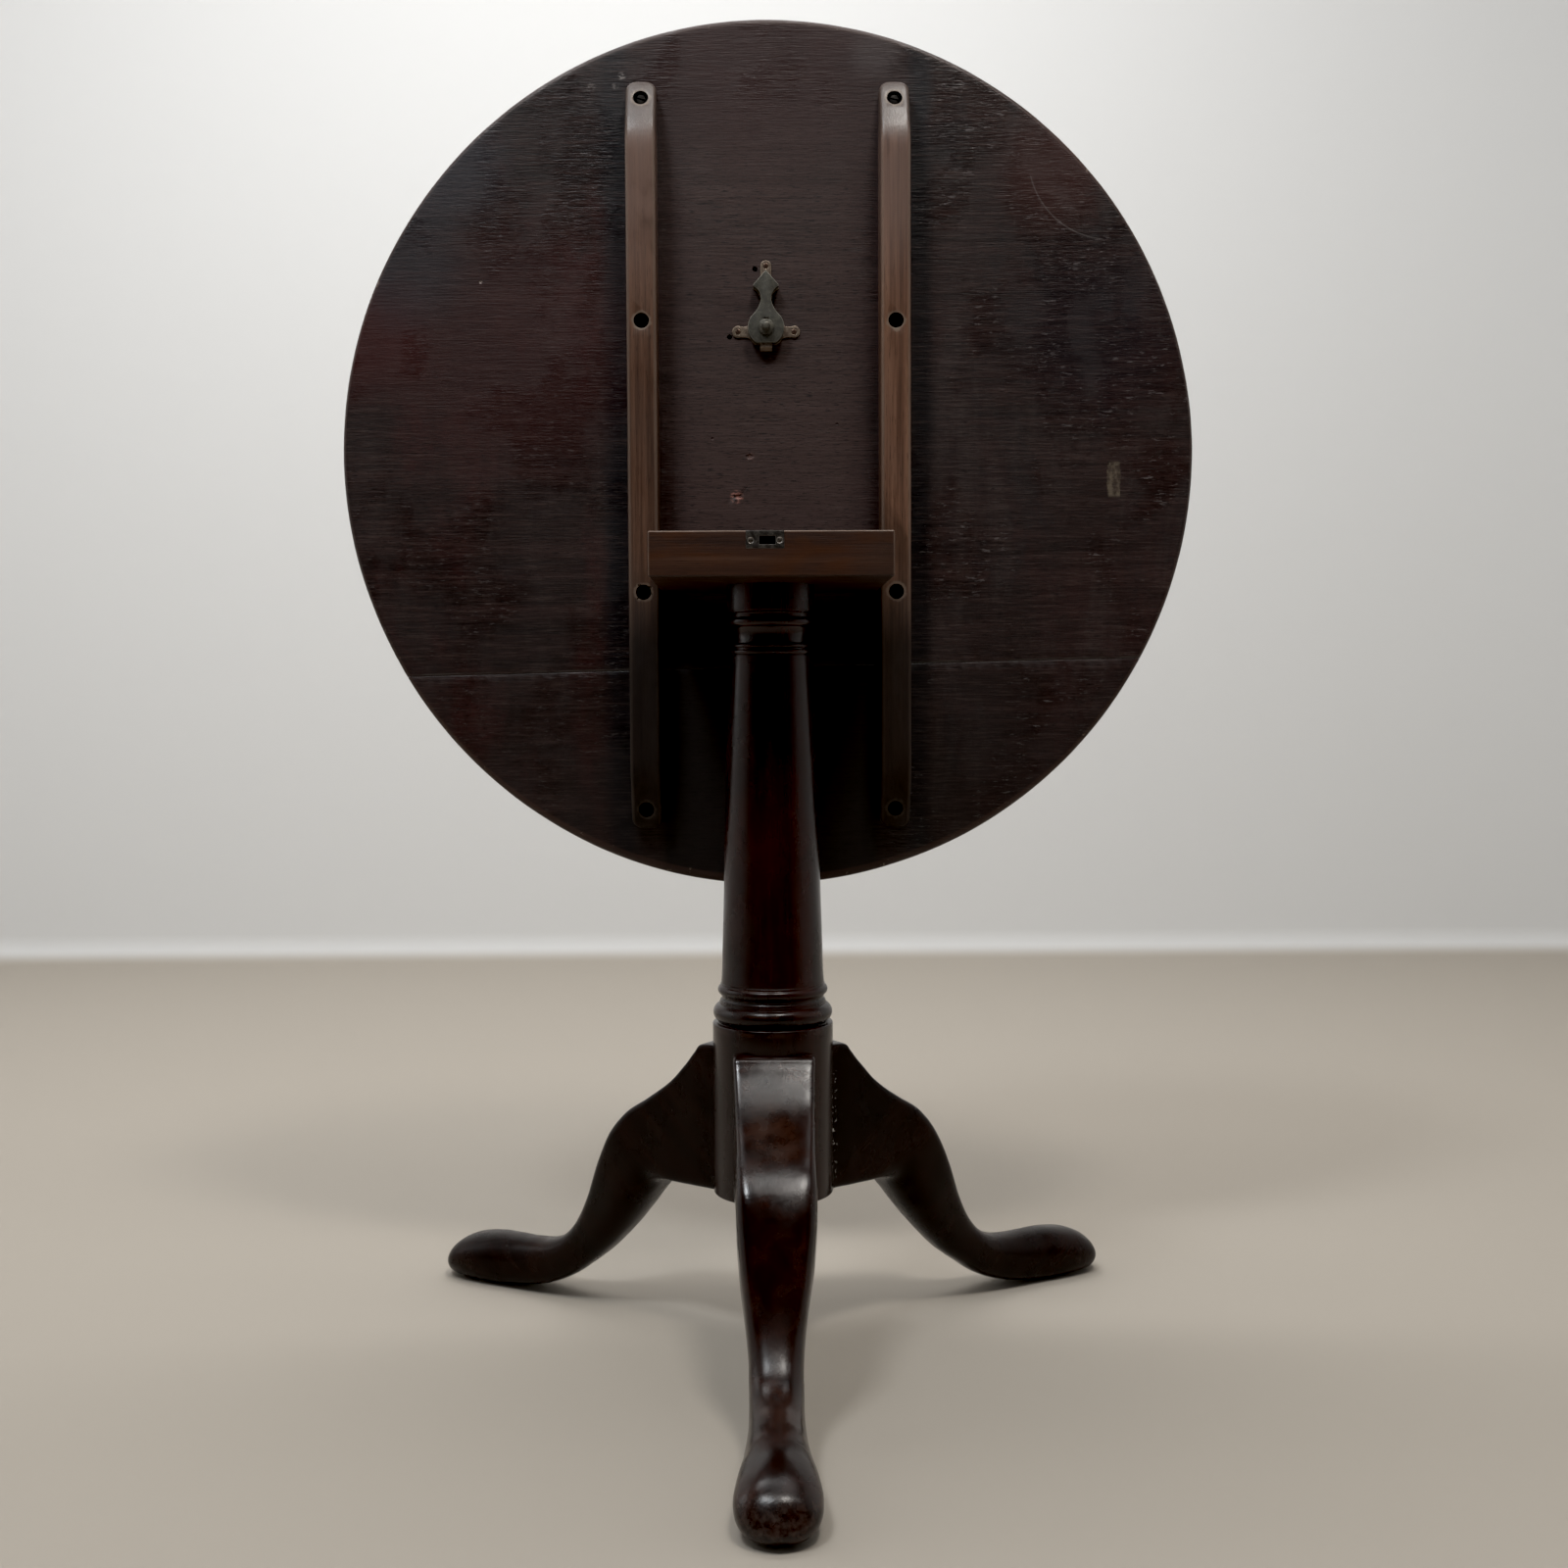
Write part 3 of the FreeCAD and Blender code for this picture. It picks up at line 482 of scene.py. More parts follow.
# soft lights: (name, place, target, width and height, watts, colour)
for name, place, target, size, power, colour in (
        ("ceiling_left", (-0.8, -1.15, 2.8), (0, 0.05, 0.6), (0.5, 0.36), 23, (0.93, 0.97, 1.0)),
        ("ceiling_right", (0.45, -1.05, 2.85), (0, 0.05, 0.6), (0.42, 0.36), 20, (1.0, 0.96, 0.9)),
        ("ceiling_wide", (0, 0.9, 3.4), (0, 0.7, 0), (3.0, 2.0), 22, (1.0, 1.0, 1.0)),
        ("ceiling_strip", (0, -0.85, 3.1), (0, 0, 0.5), (3.6, 0.22), 16, (1.0, 0.99, 0.97)),
        ("window_left", (-2.3, 0.5, 1.2), (0, 0.1, 0.6), (0.9, 1.5), 3.5, (0.95, 0.98, 1.0)),
        ("backdrop_light", (-0.4, 0.7, 2.7), (-0.4, 2.4, 0.7), (2.2, 0.6), 26, (1.0, 1.0, 1.0))):
    light = bpy.data.lights.new(name, "AREA")
    light.shape, light.size, light.size_y = "RECTANGLE", *size
    light.energy, light.color = power, colour
    softbox = bpy.data.objects.new(name, light)
    softbox.location = place
    softbox.rotation_euler = (Vector(target) - Vector(place)).to_track_quat("-Z", "Y").to_euler()
    scene.collection.objects.link(softbox)

world = bpy.data.worlds.new("studio")
scene.world = world
world.use_nodes = True
background = world.node_tree.nodes["Background"]
background.inputs["Color"].default_value = (1, 1, 1, 1)
background.inputs["Strength"].default_value = 0.03

# ---- The round top: two boards joined edge to edge ----
board_low, board_high = box_mm("top_board_wide")
UNDERSIDE, UPPER = board_low.y, board_high.y
TOP_RADIUS = (board_high.x - board_low.x) / 2
TOP_CENTRE_Z = board_high.z - TOP_RADIUS
RIM_ROUNDING, JOINT_DROP, JOINT_SLOPE = 4.5, 193.1, math.radians(1.2)
joint_normal = Vector((-math.sin(JOINT_SLOPE), 0, math.cos(JOINT_SLOPE)))
joint_point = Vector((0, 0, TOP_CENTRE_Z)) - joint_normal * JOINT_DROP


def disc_profile():
    """(radius, y) from the underside's middle round the rim to the upper side's middle."""
    rings = [0, 12, 30, 60] + [60 + 10 * i for i in range(1, 32)] + [377, 382]
    rounding = arc((TOP_RADIUS - RIM_ROUNDING, UNDERSIDE + RIM_ROUNDING), RIM_ROUNDING, -90, 0, 6)
    profile = [(r, UNDERSIDE) for r in rings] + rounding
    return profile + [(r, UNDERSIDE + UPPER - y) for r, y in reversed(profile)]


def board(name, keep_upper):
    """One board of the top, cut off along the joint with a small chamfer that makes the joint's line."""
    segments = 300
    bm = bmesh.new()
    rows = []
    for radius, depth in disc_profile():
        if radius == 0:
            rows.append([bm.verts.new(Vector((0, depth, TOP_CENTRE_Z)) * MM)])
            continue
        rows.append([bm.verts.new(Vector((radius * math.cos(a), depth,
                                          TOP_CENTRE_Z + radius * math.sin(a))) * MM)
                     for a in (2 * math.pi * k / segments for k in range(segments))])
    bridge(bm, rows)
    side = 1 if keep_upper else -1
    start = joint_point + joint_normal * side * 0.7
    geometry = bm.verts[:] + bm.edges[:] + bm.faces[:]
    bmesh.ops.bisect_plane(bm, geom=geometry, plane_co=start * MM, plane_no=joint_normal,
                           clear_inner=keep_upper, clear_outer=not keep_upper)
    rim = [edge for edge in bm.edges if edge.is_boundary]
    made = bmesh.ops.extrude_edge_only(bm, edges=rim)
    middle = (UNDERSIDE + UPPER) / 2 * MM
    half = (UPPER - UNDERSIDE) / 2 * MM
    for vert in (item for item in made["geom"] if isinstance(item, bmesh.types.BMVert)):
        vert.co -= joint_normal * side * 0.6 * MM
        vert.co.y = middle + (vert.co.y - middle) * (1 - 0.28 * MM / half)
    bmesh.ops.holes_fill(bm, edges=[edge for edge in bm.edges if edge.is_boundary], sides=0)
    return from_bmesh(name, bm)


def out_of_round(obj):
    """The top isn't quite round: it is a little long below the joint and above the bearers."""
    for vert in obj.data.vertices:
        rise = (vert.co.z / MM - TOP_CENTRE_Z) / TOP_RADIUS
        sweep = abs(vert.co.x / MM + 120 * min(rise, 0)) / TOP_RADIUS
        vert.co.z += (2.6 * max(rise, 0) ** 2 - (4.6 + 2.0 * sweep) * max(-rise, 0) ** 2) * MM
    return obj


def rim_wear(point):
    """Softer planing marks on the faces, none beside the joint."""
    return 1.0 if abs((point - joint_point).dot(joint_normal)) > 4 else 0.0


wide = board("board_wide", True)
narrow = board("board_narrow", False)
for number, obj in enumerate((wide, narrow)):
    out_of_round(obj)
    hand_made(obj, 0.28, 0.012, 3.1 + number, rim_wear)
    hand_made(obj, 0.12, 0.05, 7.7 + number, rim_wear)

# Old screw holes beside the catch, and dents between the bearers, as (x, z, half length, half height)
old_holes = [turned("old_hole", [(0, -9), (1.6, -9), (2.4, 0.0), (3.0, 2), (0, 2)], 20, "-Y",
                    (px, UNDERSIDE, pz)) for px, pz in ((-12.3, 955.6), (-35.7, 894.2))]
dents = [blob("dent", (px, UNDERSIDE - 0.5, pz), (long, 1.3, high), i)
         for i, (px, pz, long, high) in enumerate([(-29.9, 749, 5.5, 2.6), (-18, 785.6, 4.0, 2.8),
                                                   (-52, 802, 1.6, 1.6), (62, 815, 2.2, 1.2),
                                                   (-262, 944, 2.0, 1.8)])]
carve(wide, old_holes + dents)


# the centre (x, z) and radius, in metres, of the circle that a long scratch follows
SCRATCH = (0.3118, 1.0562, 0.0742)


def board_material(name, seed):
    tree = Tree(name)
    place, x, y, z = tree.place()
    grain = tree.grain().moved((seed, 0, 0))
    side = abs(x)
    under = y.fade(0.115, 0.1125)
    # slow patches taller than they are wide, blots, fibres along the grain and open pores
    slow = place.noise((7, 7, 3.4), 6.0, 0.66, 0.4)
    patch = place.moved((4.1, 1.7, 2.2)).noise((17, 17, 8), 7.0, 0.7, 0.5)
    blots = place.moved((9.3, 5.2, 0)).noise((36, 36, 24), 5.0, 0.66, 0.4)
    fibres = grain.noise((26, 560, 560), 5.0, 0.7)
    pores = grain.noise((120, 1200, 1200), 2.0, 0.5)
    figure = grain.noise((2.6, 60, 60), 5.0, 0.62, 1.0)
    # the strip between the bearers has lost its varnish; its edges wander
    wander = (patch - 0.5) * 0.06
    middle = (side + wander).fade(0.108, 0.08) * (z + wander).fade(1.13, 1.065)
    left, right_side = x.fade(-0.1, -0.16), x.fade(0.1, 0.16)
    base = tree.ramp(figure, [(0.26, (0.0085, 0.0042, 0.004)), (0.5, (0.0185, 0.009, 0.0082)),
                              (0.76, (0.037, 0.0195, 0.0178))])
    # red-brown, where the old stain shows through
    red = tree.math("MULTIPLY", slow.fade(0.46, 0.64), left * 0.62 + 0.3, clamp=True)
    red = red * blots.fade(0.34, 0.58).range(0.45, 1.0)
    base = base.mix(red, (0.042, 0.0115, 0.0105))
    # painted sheen: bluish-black and grey upright bands, the room's reflection in the uneven varnish, painted
    # into the colour
    blue_sheen = tree.math("MULTIPLY", patch.fade(0.5, 0.64), right_side * 0.3 + 0.25, clamp=True)
    base = base.mix(blue_sheen * 0.8, (0.011, 0.0105, 0.012))
    # the grey haze is painted sheen as well
    haze = place.moved((1.9, 0, 7.7)).noise((24, 24, 7), 6.0, 0.7, 0.4).fade(0.46, 0.68)
    haze = haze * right_side.range(0.35, 0.6)
    haze = haze * fibres.fade(0.4, 0.6).range(0.35, 1.0)
    base = base.mix(haze, (0.047, 0.0345, 0.0325))
    # bare wood: pinkish brown with slow lighter and darker streaks
    bare = tree.ramp(grain.noise((4.0, 50, 50), 5.0, 0.62, 0.8),
                     [(0.3, (0.025, 0.014, 0.0125)), (0.55, (0.042, 0.0245, 0.0225)),
                      (0.8, (0.06, 0.036, 0.033))])
    bare = bare.mix(slow.fade(0.44, 0.62) * 0.5, (0.046, 0.0235, 0.0205))
    bare = bare.mix(z.fade(0.93, 0.78) * 0.5, (0.074, 0.042, 0.037))
    bare = bare.mix(side.fade(0.06, 0.088) * 0.55, (0.026, 0.0105, 0.01))
    base = base.mix(middle * 0.95, bare)
    # dark stain beside the bearers' outer edges
    drift = wander * 0.35
    edge_left = abs(x + 0.138 + drift).fade(0.02, 0.004)
    edge_right = abs(x - 0.138 + drift).fade(0.016, 0.003)
    stain = tree.math("MULTIPLY", tree.larger(edge_left, edge_right), blots.range(0.45, 1.2), clamp=True)
    base = base.mix(stain, (0.0042, 0.0046, 0.0072))
    # fibres, pores, and pale scuffs that are partly painted glints
    base = base.mix(fibres.fade(0.48, 0.7) * 0.42, (0.08, 0.052, 0.046))
    base = base.mix(fibres.fade(0.48, 0.3) * 0.5, (0.006, 0.003, 0.0028))
    base = base.mix(pores.fade(0.58, 0.66) * 0.8, (0.003, 0.0016, 0.0015))
    glint_area = place.moved((3.3, 0, 1.1)).noise((15, 15, 9), 4.0, 0.62, 0.3).fade(0.48, 0.62)
    # pale scuffs: worn varnish, and painted glints where the glossy places would catch the light
    scuff_glint = grain.noise((95, 420, 420), 3.0, 0.7).fade(0.58, 0.7)
    scuff_glint = scuff_glint * (glint_area.range(0.12, 1.0) * middle.range(1.0, 0.25))
    base = base.mix(scuff_glint * right_side.range(0.32, 0.66), (0.165, 0.145, 0.145))
    # stains: (centre, radius, soft edge, strength, colour)
    warp_x = x + (blots - 0.5) * 0.02
    warp_z = z + (patch - 0.5) * 0.03
    stains = [((-0.001, 1.16), 0.06, 0.1, 0.6, (0.033, 0.0125, 0.0118)),
              ((0.098, 1.148), 0.01, 0.02, 0.6, (0.058, 0.044, 0.044)),
              ((-0.365, 0.895), 0.02, 0.06, 0.6, (0.052, 0.011, 0.0105)),
              ((-0.225, 0.88), 0.05, 0.1, 0.4, (0.046, 0.0125, 0.012)),
              ((0.258, 1.045), 0.02, 0.05, 0.6, (0.054, 0.024, 0.0215)),
              ((-0.3, 1.055), 0.03, 0.05, 0.45, (0.04, 0.042, 0.052)),
              ((-0.33, 0.955), 0.02, 0.05, 0.35, (0.03, 0.032, 0.04)),
              ((0.3, 0.9), 0.03, 0.08, 0.3, (0.013, 0.0145, 0.021))]
    for centre, radius, soft, strength, colour in stains:
        base = base.mix(tree.near(warp_x, warp_z, centre, radius, soft) * strength, colour)
    # single marks, in the same form: scratches by the left bearer, raw wood in the dents
    crumbs = place.noise((260, 260, 700), 3.0, 0.65).fade(0.46, 0.58)
    marks = [((-0.132, 1.128), 0.0016, 0.003, 0.75, (0.3, 0.27, 0.26)),
             ((-0.138, 1.119), 0.0012, 0.003, 0.6, (0.26, 0.23, 0.22)),
             ((-0.16, 1.118), 0.0014, 0.004, 0.55, (0.24, 0.21, 0.2)),
             ((-0.262, 0.944), 0.0008, 0.0012, 1.0, (0.42, 0.34, 0.31)),
             ((-0.03, 0.749), 0.0042, 0.003, 0.95, (0.34, 0.15, 0.12)),
             ((-0.018, 0.7856), 0.002, 0.003, 0.6, (0.22, 0.11, 0.092))]
    for centre, radius, soft, strength, colour in marks:
        spot = tree.near(x, z, centre, radius, soft) * crumbs
        base = base.mix(spot * strength, colour)
    # a pale upright strip low on the right, where something was stuck
    fine_blots = place.noise((150, 150, 90), 4.0, 0.65)
    strip = abs(warp_x - 0.317).fade(0.0062, 0.004) * abs(z - 0.764).fade(0.0175, 0.0135)
    strip = strip * fine_blots.fade(0.4, 0.56).range(0.25, 0.95)
    base = base.mix(strip, (0.125, 0.098, 0.07))
    # one long curved scratch high on the right: part of a circle
    sx, sz = x - SCRATCH[0], z - SCRATCH[1]
    curve = abs(tree.distance(sx, sz) - SCRATCH[2]).fade(0.0008, 0.0003)
    curve = curve * (z.fade(1.042, 1.036) * x.fade(0.308, 0.302))
    curve = curve * (sx + sz).fade(0.0, -0.002)
    base = base.mix(curve * 0.38, (0.16, 0.14, 0.135))
    # pale dust in the joint between the boards
    line = abs(z - joint_point.z * MM - x * math.tan(JOINT_SLOPE))
    dust = line.fade(0.0008, 0.0003) * grain.noise((24, 3, 3), 3.0, 0.6).fade(0.38, 0.56)
    base = base.mix(dust * side.fade(0.118, 0.13), (0.05, 0.04, 0.036))
    # painted shade: the whole top is darker towards its foot
    base = base.mix(z.fade(0.66, 0.5) * 0.34, (0.005, 0.0035, 0.0034))
    # painted shadow: below the block the middle is painted near black, as the block's shadow
    painted_block_shadow = z.fade(0.668, 0.64) * side.fade(0.106, 0.094)
    base = base.mix(painted_block_shadow * 0.82, (0.0035, 0.003, 0.003))
    # the rim, worn to paler wood, with a few chips
    rim = tree.distance(x, z - TOP_CENTRE_Z * MM).fade(0.3862, 0.3885)
    chips = rim * place.noise((130, 130, 130), 3.0, 0.6).fade(0.66, 0.7)
    base = base.mix(rim * 0.35, (0.075, 0.036, 0.025))
    base = base.mix(chips * 0.45, (0.26, 0.2, 0.155))
    # the upper side is polished mahogany with long figure
    polished = tree.ramp(grain.noise((1.1, 26, 26), 6.0, 0.62, 2.2),
                         [(0.3, (0.02, 0.006, 0.0034)), (0.5, (0.046, 0.0135, 0.0068)),
                          (0.72, (0.082, 0.027, 0.0125))])
    polished = polished.mix(pores.fade(0.58, 0.66) * 0.6, (0.01, 0.003, 0.002))
    base = polished.mix(under, base)
    # gloss: patchy worn varnish outside the bearers, nearly none between them
    rough = tree.blend(middle, glint_area.range(0.5, 0.33), 0.58)
    rough = tree.blend(under, 0.24, rough)
    # short ripples along the grain, strongest in the glossy places, and raised fibres
    ripple = grain.noise((80, 560, 560), 3.0, 0.6, 0.3)
    waves = grain.noise((24, 110, 110), 3.0, 0.55, 0.3)
    height = ripple * 0.55 + waves * 0.55
    height = height * glint_area.range(0.6, 1.15)
    height = height + fibres * 0.4
    height = height * under.range(0.05, 1.0)
    height = height * middle.range(1.0, 0.55)
    return tree.finish(base, rough, tree.bump(height, 0.0012, 0.55), specular=0.42)


for obj, slot_node, seed in ((wide, "top_board_wide", 0.0), (narrow, "top_board_narrow", 5.3)):
    set_grain(obj, ALONG_X)
    finish_mesh(obj)
    part(obj, board_material("mahogany_" + slot_node, seed), "top", "top_wood", slot_node)

# ---- Bearers: battens with ramped ends and counterbored screws ----
HOLE_LINES = (463.0, 660.0, 902.0, 1102.5)
BEARER_X, BEARER_END = 114.0, 1120.0
BEARER_HALF, BEARER_DEPTH, TRUNNION = 13.5, 34, 8
PIVOT_HEIGHT, PIVOT_Y = 679.3, UNDERSIDE - 18


def rounded_section(half, depth, corner, back_corner=0.6, steps=5):
    """(x, y) points round a bearer's section, y counted down from the underside."""
    points = []
    front = UNDERSIDE - depth
    for cx, cy, radius, first in ((half - back_corner, UNDERSIDE + 0.25 - back_corner, back_corner, 0),
                                  (-half + back_corner, UNDERSIDE + 0.25 - back_corner, back_corner, 90),
                                  (-half + corner, front + corner, corner, 180),
                                  (half - corner, front + corner, corner, 270)):
        points += arc((cx, cy), radius, first, first + 90, steps)
    return points


def quarter_round(gap, radius):
    """How far a rounded end draws in at gap from its tip."""
    return radius - math.sqrt(radius ** 2 - (radius - gap) ** 2) if gap < radius else 0


def bearer(name, side, node):
    """A batten with ramped and rounded ends, its counterbores and its blind bore for the trunnion."""
    low, high = box_mm(node)
    end_gaps = [0, 0.3, 0.9, 1.8, 3, 4.5, 6.5, 9, 13, 20, 28, 36, 43, 47, 50, 53, 57, 64]
    stations = [low.z + gap for gap in end_gaps]
    stations += [low.z + 64 + 18 * i for i in range(1, 31) if low.z + 64 + 18 * i < high.z - 70]
    stations += [high.z - gap for gap in reversed(end_gaps)]
    rings = []
    for height in stations:
        gap = min(height - low.z, high.z - height)
        pull = quarter_round(gap, 9.5)
        depth = smooth_min(12 + 22 * gap / 52, BEARER_DEPTH, 6) - quarter_round(gap, 4.0)
        ring = []
        for px, py in rounded_section(BEARER_HALF - pull, depth, min(3.6, depth * 0.4)):
            wobble = 0.18 * noise.noise(Vector((px * 0.05 + side * 9, py * 0.05, height * 0.014)))
            ring.append((side * BEARER_X + px + wobble, py + wobble * 0.6, height))
        rings.append(ring)
    obj = skin(name, rings)
    hole = [(0, -13), (2.25, -13), (2.25, 12), (6.8, 12.4), (6.9, 60), (0, 60)]
    cutters = [turned("hole", hole, 40, "-Y", (side * BEARER_X, UNDERSIDE, line)) for line in HOLE_LINES]
    cutters.append(turned("bore", [(0, -20), (TRUNNION + 0.08, -20), (TRUNNION + 0.08, 20), (0, 20)], 48, "X",
                          (side * BEARER_X, PIVOT_Y, PIVOT_HEIGHT)))
    carve(obj, cutters)

    def mouth(point):
        """Picks the rims of the counterbores on the front face."""
        nearest = min(HOLE_LINES, key=lambda line: abs(line - point.z))
        away = math.hypot(point.x - side * BEARER_X, point.z - nearest)
        return 6.4 < away < 7.3 and point.y < UNDERSIDE - 13.5

    ease_rims(obj, mouth, 0.45)
    return obj


def bearer_material(name, side, seed):
    tree = Tree(name)
    place, x, _, z = tree.place()
    tone = 1.58 if side > 0 else 1.14
    tones = [tuple(channel * tone for channel in colour) for colour in (
        (0.03, 0.0145, 0.0095), (0.074, 0.036, 0.0225), (0.15, 0.08, 0.051))]
    colour, fibres, pores = wood_colour(tree, *tones, 0.5, seed)
    streaks = tree.grain().moved((seed, 0.3, 0.7)).noise((3.5, 230, 230), 4.0, 0.6)
    colour = colour.mix(streaks.fade(0.52, 0.68) * 0.45, tones[2])
    colour = colour.mix(streaks.fade(0.46, 0.32) * 0.55, tones[0])
    # greyer and paler towards the upper end; painted shade, as the block's shadow, below the block
    haze = z.fade(0.9, 1.02) * 0.5
    colour = colour.mix(haze, (0.205, 0.142, 0.123))
    # painted shade: the lower ends are darkened as the block's shadow falls there, with less rubbing, gloss
    # and coat
    painted_shade_low = z.fade(0.712, 0.605)
    colour = colour.mix(painted_shade_low * 0.93, (0.005, 0.003, 0.0024))
    own_x = x - side * BEARER_X * MM
    side_way = abs(own_x)
    patches = place.noise((22, 22, 9), 4.0, 0.6, 0.5)
    colour = colour.mix(patches.fade(0.52, 0.72) * 0.55, (0.02, 0.0125, 0.0095))
    # arrises paler: rubbed wood with a painted highlight; the ramps' faces rubbed grey
    arris = side_way.fade(0.0098, 0.0118) * side_way.fade(0.01345, 0.01315)
    rub_highlight = arris * place.noise((60, 60, 14), 3.0, 0.6).range(0.1, 0.9)
    rub_highlight = rub_highlight * painted_shade_low.range(1.0, 0.2)
    colour = colour.mix(rub_highlight, (0.17, 0.122, 0.094))
    upper_ramp = z.fade((BEARER_END - 62) * MM, (BEARER_END - 36) * MM)
    colour = colour.mix(upper_ramp * 0.7, (0.052, 0.038, 0.032))
    # the counterbores' mouths, chewed paler; inside they are painted near black as shade
    ring = None
    for line in HOLE_LINES:
        away = tree.distance(own_x, z - line * MM)
        ring = away if ring is None else tree.lesser(ring, away)
    chew = ring + (place.noise((170, 170, 170), 2.0, 0.6) - 0.5) * 0.006
    pale = chew.fade(0.0098, 0.0078) * ring.fade(0.0066, 0.0069)
    pale = pale * painted_shade_low.range(1.0, 0.15)
    colour = colour.mix(pale * 0.75, (0.2, 0.15, 0.115))
    # painted shade: near black inside the counterbores
    colour = colour.mix(ring.fade(0.00695, 0.0068), (0.002, 0.0013, 0.001))
    roughness = patches.fade(0.35, 0.7).range(0.46, 0.3)
    height = fibres * 0.6 + pores * -0.3
    height = height + place.noise((40, 40, 12), 3.0, 0.5)
    roughness = roughness + painted_shade_low * 0.4
    return tree.finish(colour, roughness, tree.bump(height, 0.0006, 0.5), specular=0.42,
                       coat=painted_shade_low.range(0.18, 0.0), coat_roughness=0.22)


for name, side, node, seed in (("bearer_left", -1, "left_bearer", 1.3),
                               ("bearer_right", 1, "right_bearer", 4.9)):
    obj = bearer(name, side, node)
    if side < 0:
        # small chips round the second counterbore
        carve(obj, [blob("chip", (dx - BEARER_X, UNDERSIDE - BEARER_DEPTH + 0.6, HOLE_LINES[1] + dz),
                         (2.0, 1.6, 1.4), i)
                    for i, (dx, dz) in enumerate(((-3.4, 6.4), (5.6, 4.6), (6.6, -2.2), (-4.6, -5.6)))])
    set_grain(obj, ALONG_Z)
    finish_mesh(obj)
    part(obj, bearer_material("batten_" + name, side, seed), "top", "bearer_wood", node)


def screw(centre, radius, height, shank, length, slot_turn, dome=0.25):
    """A slotted screw whose head's outer face looks towards -Y at centre."""
    profile = [(0, -length), (shank, -length + 1), (shank, -height * 1.6), (radius, -height * 0.35),
               (radius, -0.15), (radius - 0.25, 0), (radius * 0.5, dome * 0.6), (0, dome)]
    obj = turned("screw", profile, 32, "-Y", centre)
    slot = block_solid("slot", (-radius * 1.2, -0.9, -radius * 0.15),
                       (radius * 1.2, height * 0.45, radius * 0.15))
    turn = Matrix.Rotation(math.radians(slot_turn), 4, "Y")
    slot.data.transform(Matrix.Translation(Vector(centre) * MM) @ turn)
    return carve(obj, [slot])


def metal_material(name, base, light, roughness, dirt, metallic=1.0, scale=1.0, rubbed=None):
    """Aged metal: darker in blotches, and paler on the chamfers between face and side: rubbed metal with a
    painted highlight.
    """
    tree = Tree(name)
    place = tree.place()[0]
    fine = place.noise((900 * scale,) * 3, 4.0, 0.65)
    blotch = place.noise((160 * scale,) * 3, 4.0, 0.6, 0.6)
    colour = tree.mix(blotch.fade(0.42, 0.66), base, light)
    colour = colour.mix(fine.fade(0.52, 0.7) * 0.6, dirt)
    if rubbed:
        # painted highlight: the chamfers are paler, as rubbed metal and as the light they catch
        facing = abs(tree.node("ShaderNodeNewGeometry", {}, "Normal").parts()[1])
        chamfer_rub_highlight = facing.fade(0.97, 0.85) * facing.fade(0.12, 0.35)
        colour = colour.mix(chamfer_rub_highlight * 0.8, rubbed)
    rough = blotch.fade(0.35, 0.7).range(roughness + 0.14, roughness - 0.05)
    return tree.finish(colour, rough, tree.bump(fine, 0.00018, 0.45), metallic=metallic)


old_steel = metal_material("old_screw_steel", (0.1, 0.085, 0.072), (0.26, 0.235, 0.21), 0.42,
                           (0.03, 0.022, 0.018))
# painted shade: the screw heads deep in the counterbores are made near black, as the shade in the holes
screw_steel_dark_as_shade = metal_material("screw_steel_painted_black_as_shade", (0.01, 0.008, 0.007), (0.03, 0.025, 0.021), 0.6,
                               (0.006, 0.005, 0.004), 0.5)
for name, side, node in (("bearer_screws_left", -1, "left_bearer_screws"),
                         ("bearer_screws_right", 1, "right_bearer_screws")):
    heads = [screw((side * BEARER_X, UNDERSIDE - 12 - 2.6, line), 4.2, 2.8, 2.0, 24, 35 + 53 * number)
             for number, line in enumerate(HOLE_LINES)]
    obj = finish_mesh(joined(name, heads))
    part(obj, screw_steel_dark_as_shade, "top", "dark_steel", node)

# ---- Pivot block ----
block_low, block_high = box_mm("pivot_block")
BLOCK_FRONT, BLOCK_BACK = block_low.y, block_high.y
BLOCK_HALF, KNUCKLE = 98.0, 17.7
BLOCK_FOOT, BLOCK_TOP = 661.0, PIVOT_HEIGHT + KNUCKLE
strike_low, strike_high = box_mm("strike_plate")


def block_ring(across, inset):
    """The block's section: square to the front, round over the trunnions, and a little uneven."""
    front, back, foot, top = BLOCK_FRONT + inset, BLOCK_BACK - inset, BLOCK_FOOT + inset, BLOCK_TOP - inset
    ease = 1.1
    corners = [((front + ease, foot + ease), ease, 180, 270), ((back - ease, foot + ease), ease, 270, 360),
               ((PIVOT_Y, PIVOT_HEIGHT), KNUCKLE - inset, 0, 90), ((front + ease, top - ease), ease, 90, 180)]
    ring = []
    for centre, radius, first, last in corners:
        for py, pz in arc(centre, radius, first, last, 8):
            sag = 0.22 * noise.noise(Vector((across * 0.03, py * 0.03, pz * 0.03)))
            ring.append((across, py + sag * 0.6, pz + sag))
    return ring


ends = [(-BLOCK_HALF, 1.0), (-BLOCK_HALF + 0.3, 0.42), (-BLOCK_HALF + 1.0, 0)]
stations = ends + [(-BLOCK_HALF + 14 * i, 0) for i in range(1, 14)] + [(-a, b) for a, b in reversed(ends)]
block = skin("block_body", [block_ring(across, inset) for across, inset in stations])
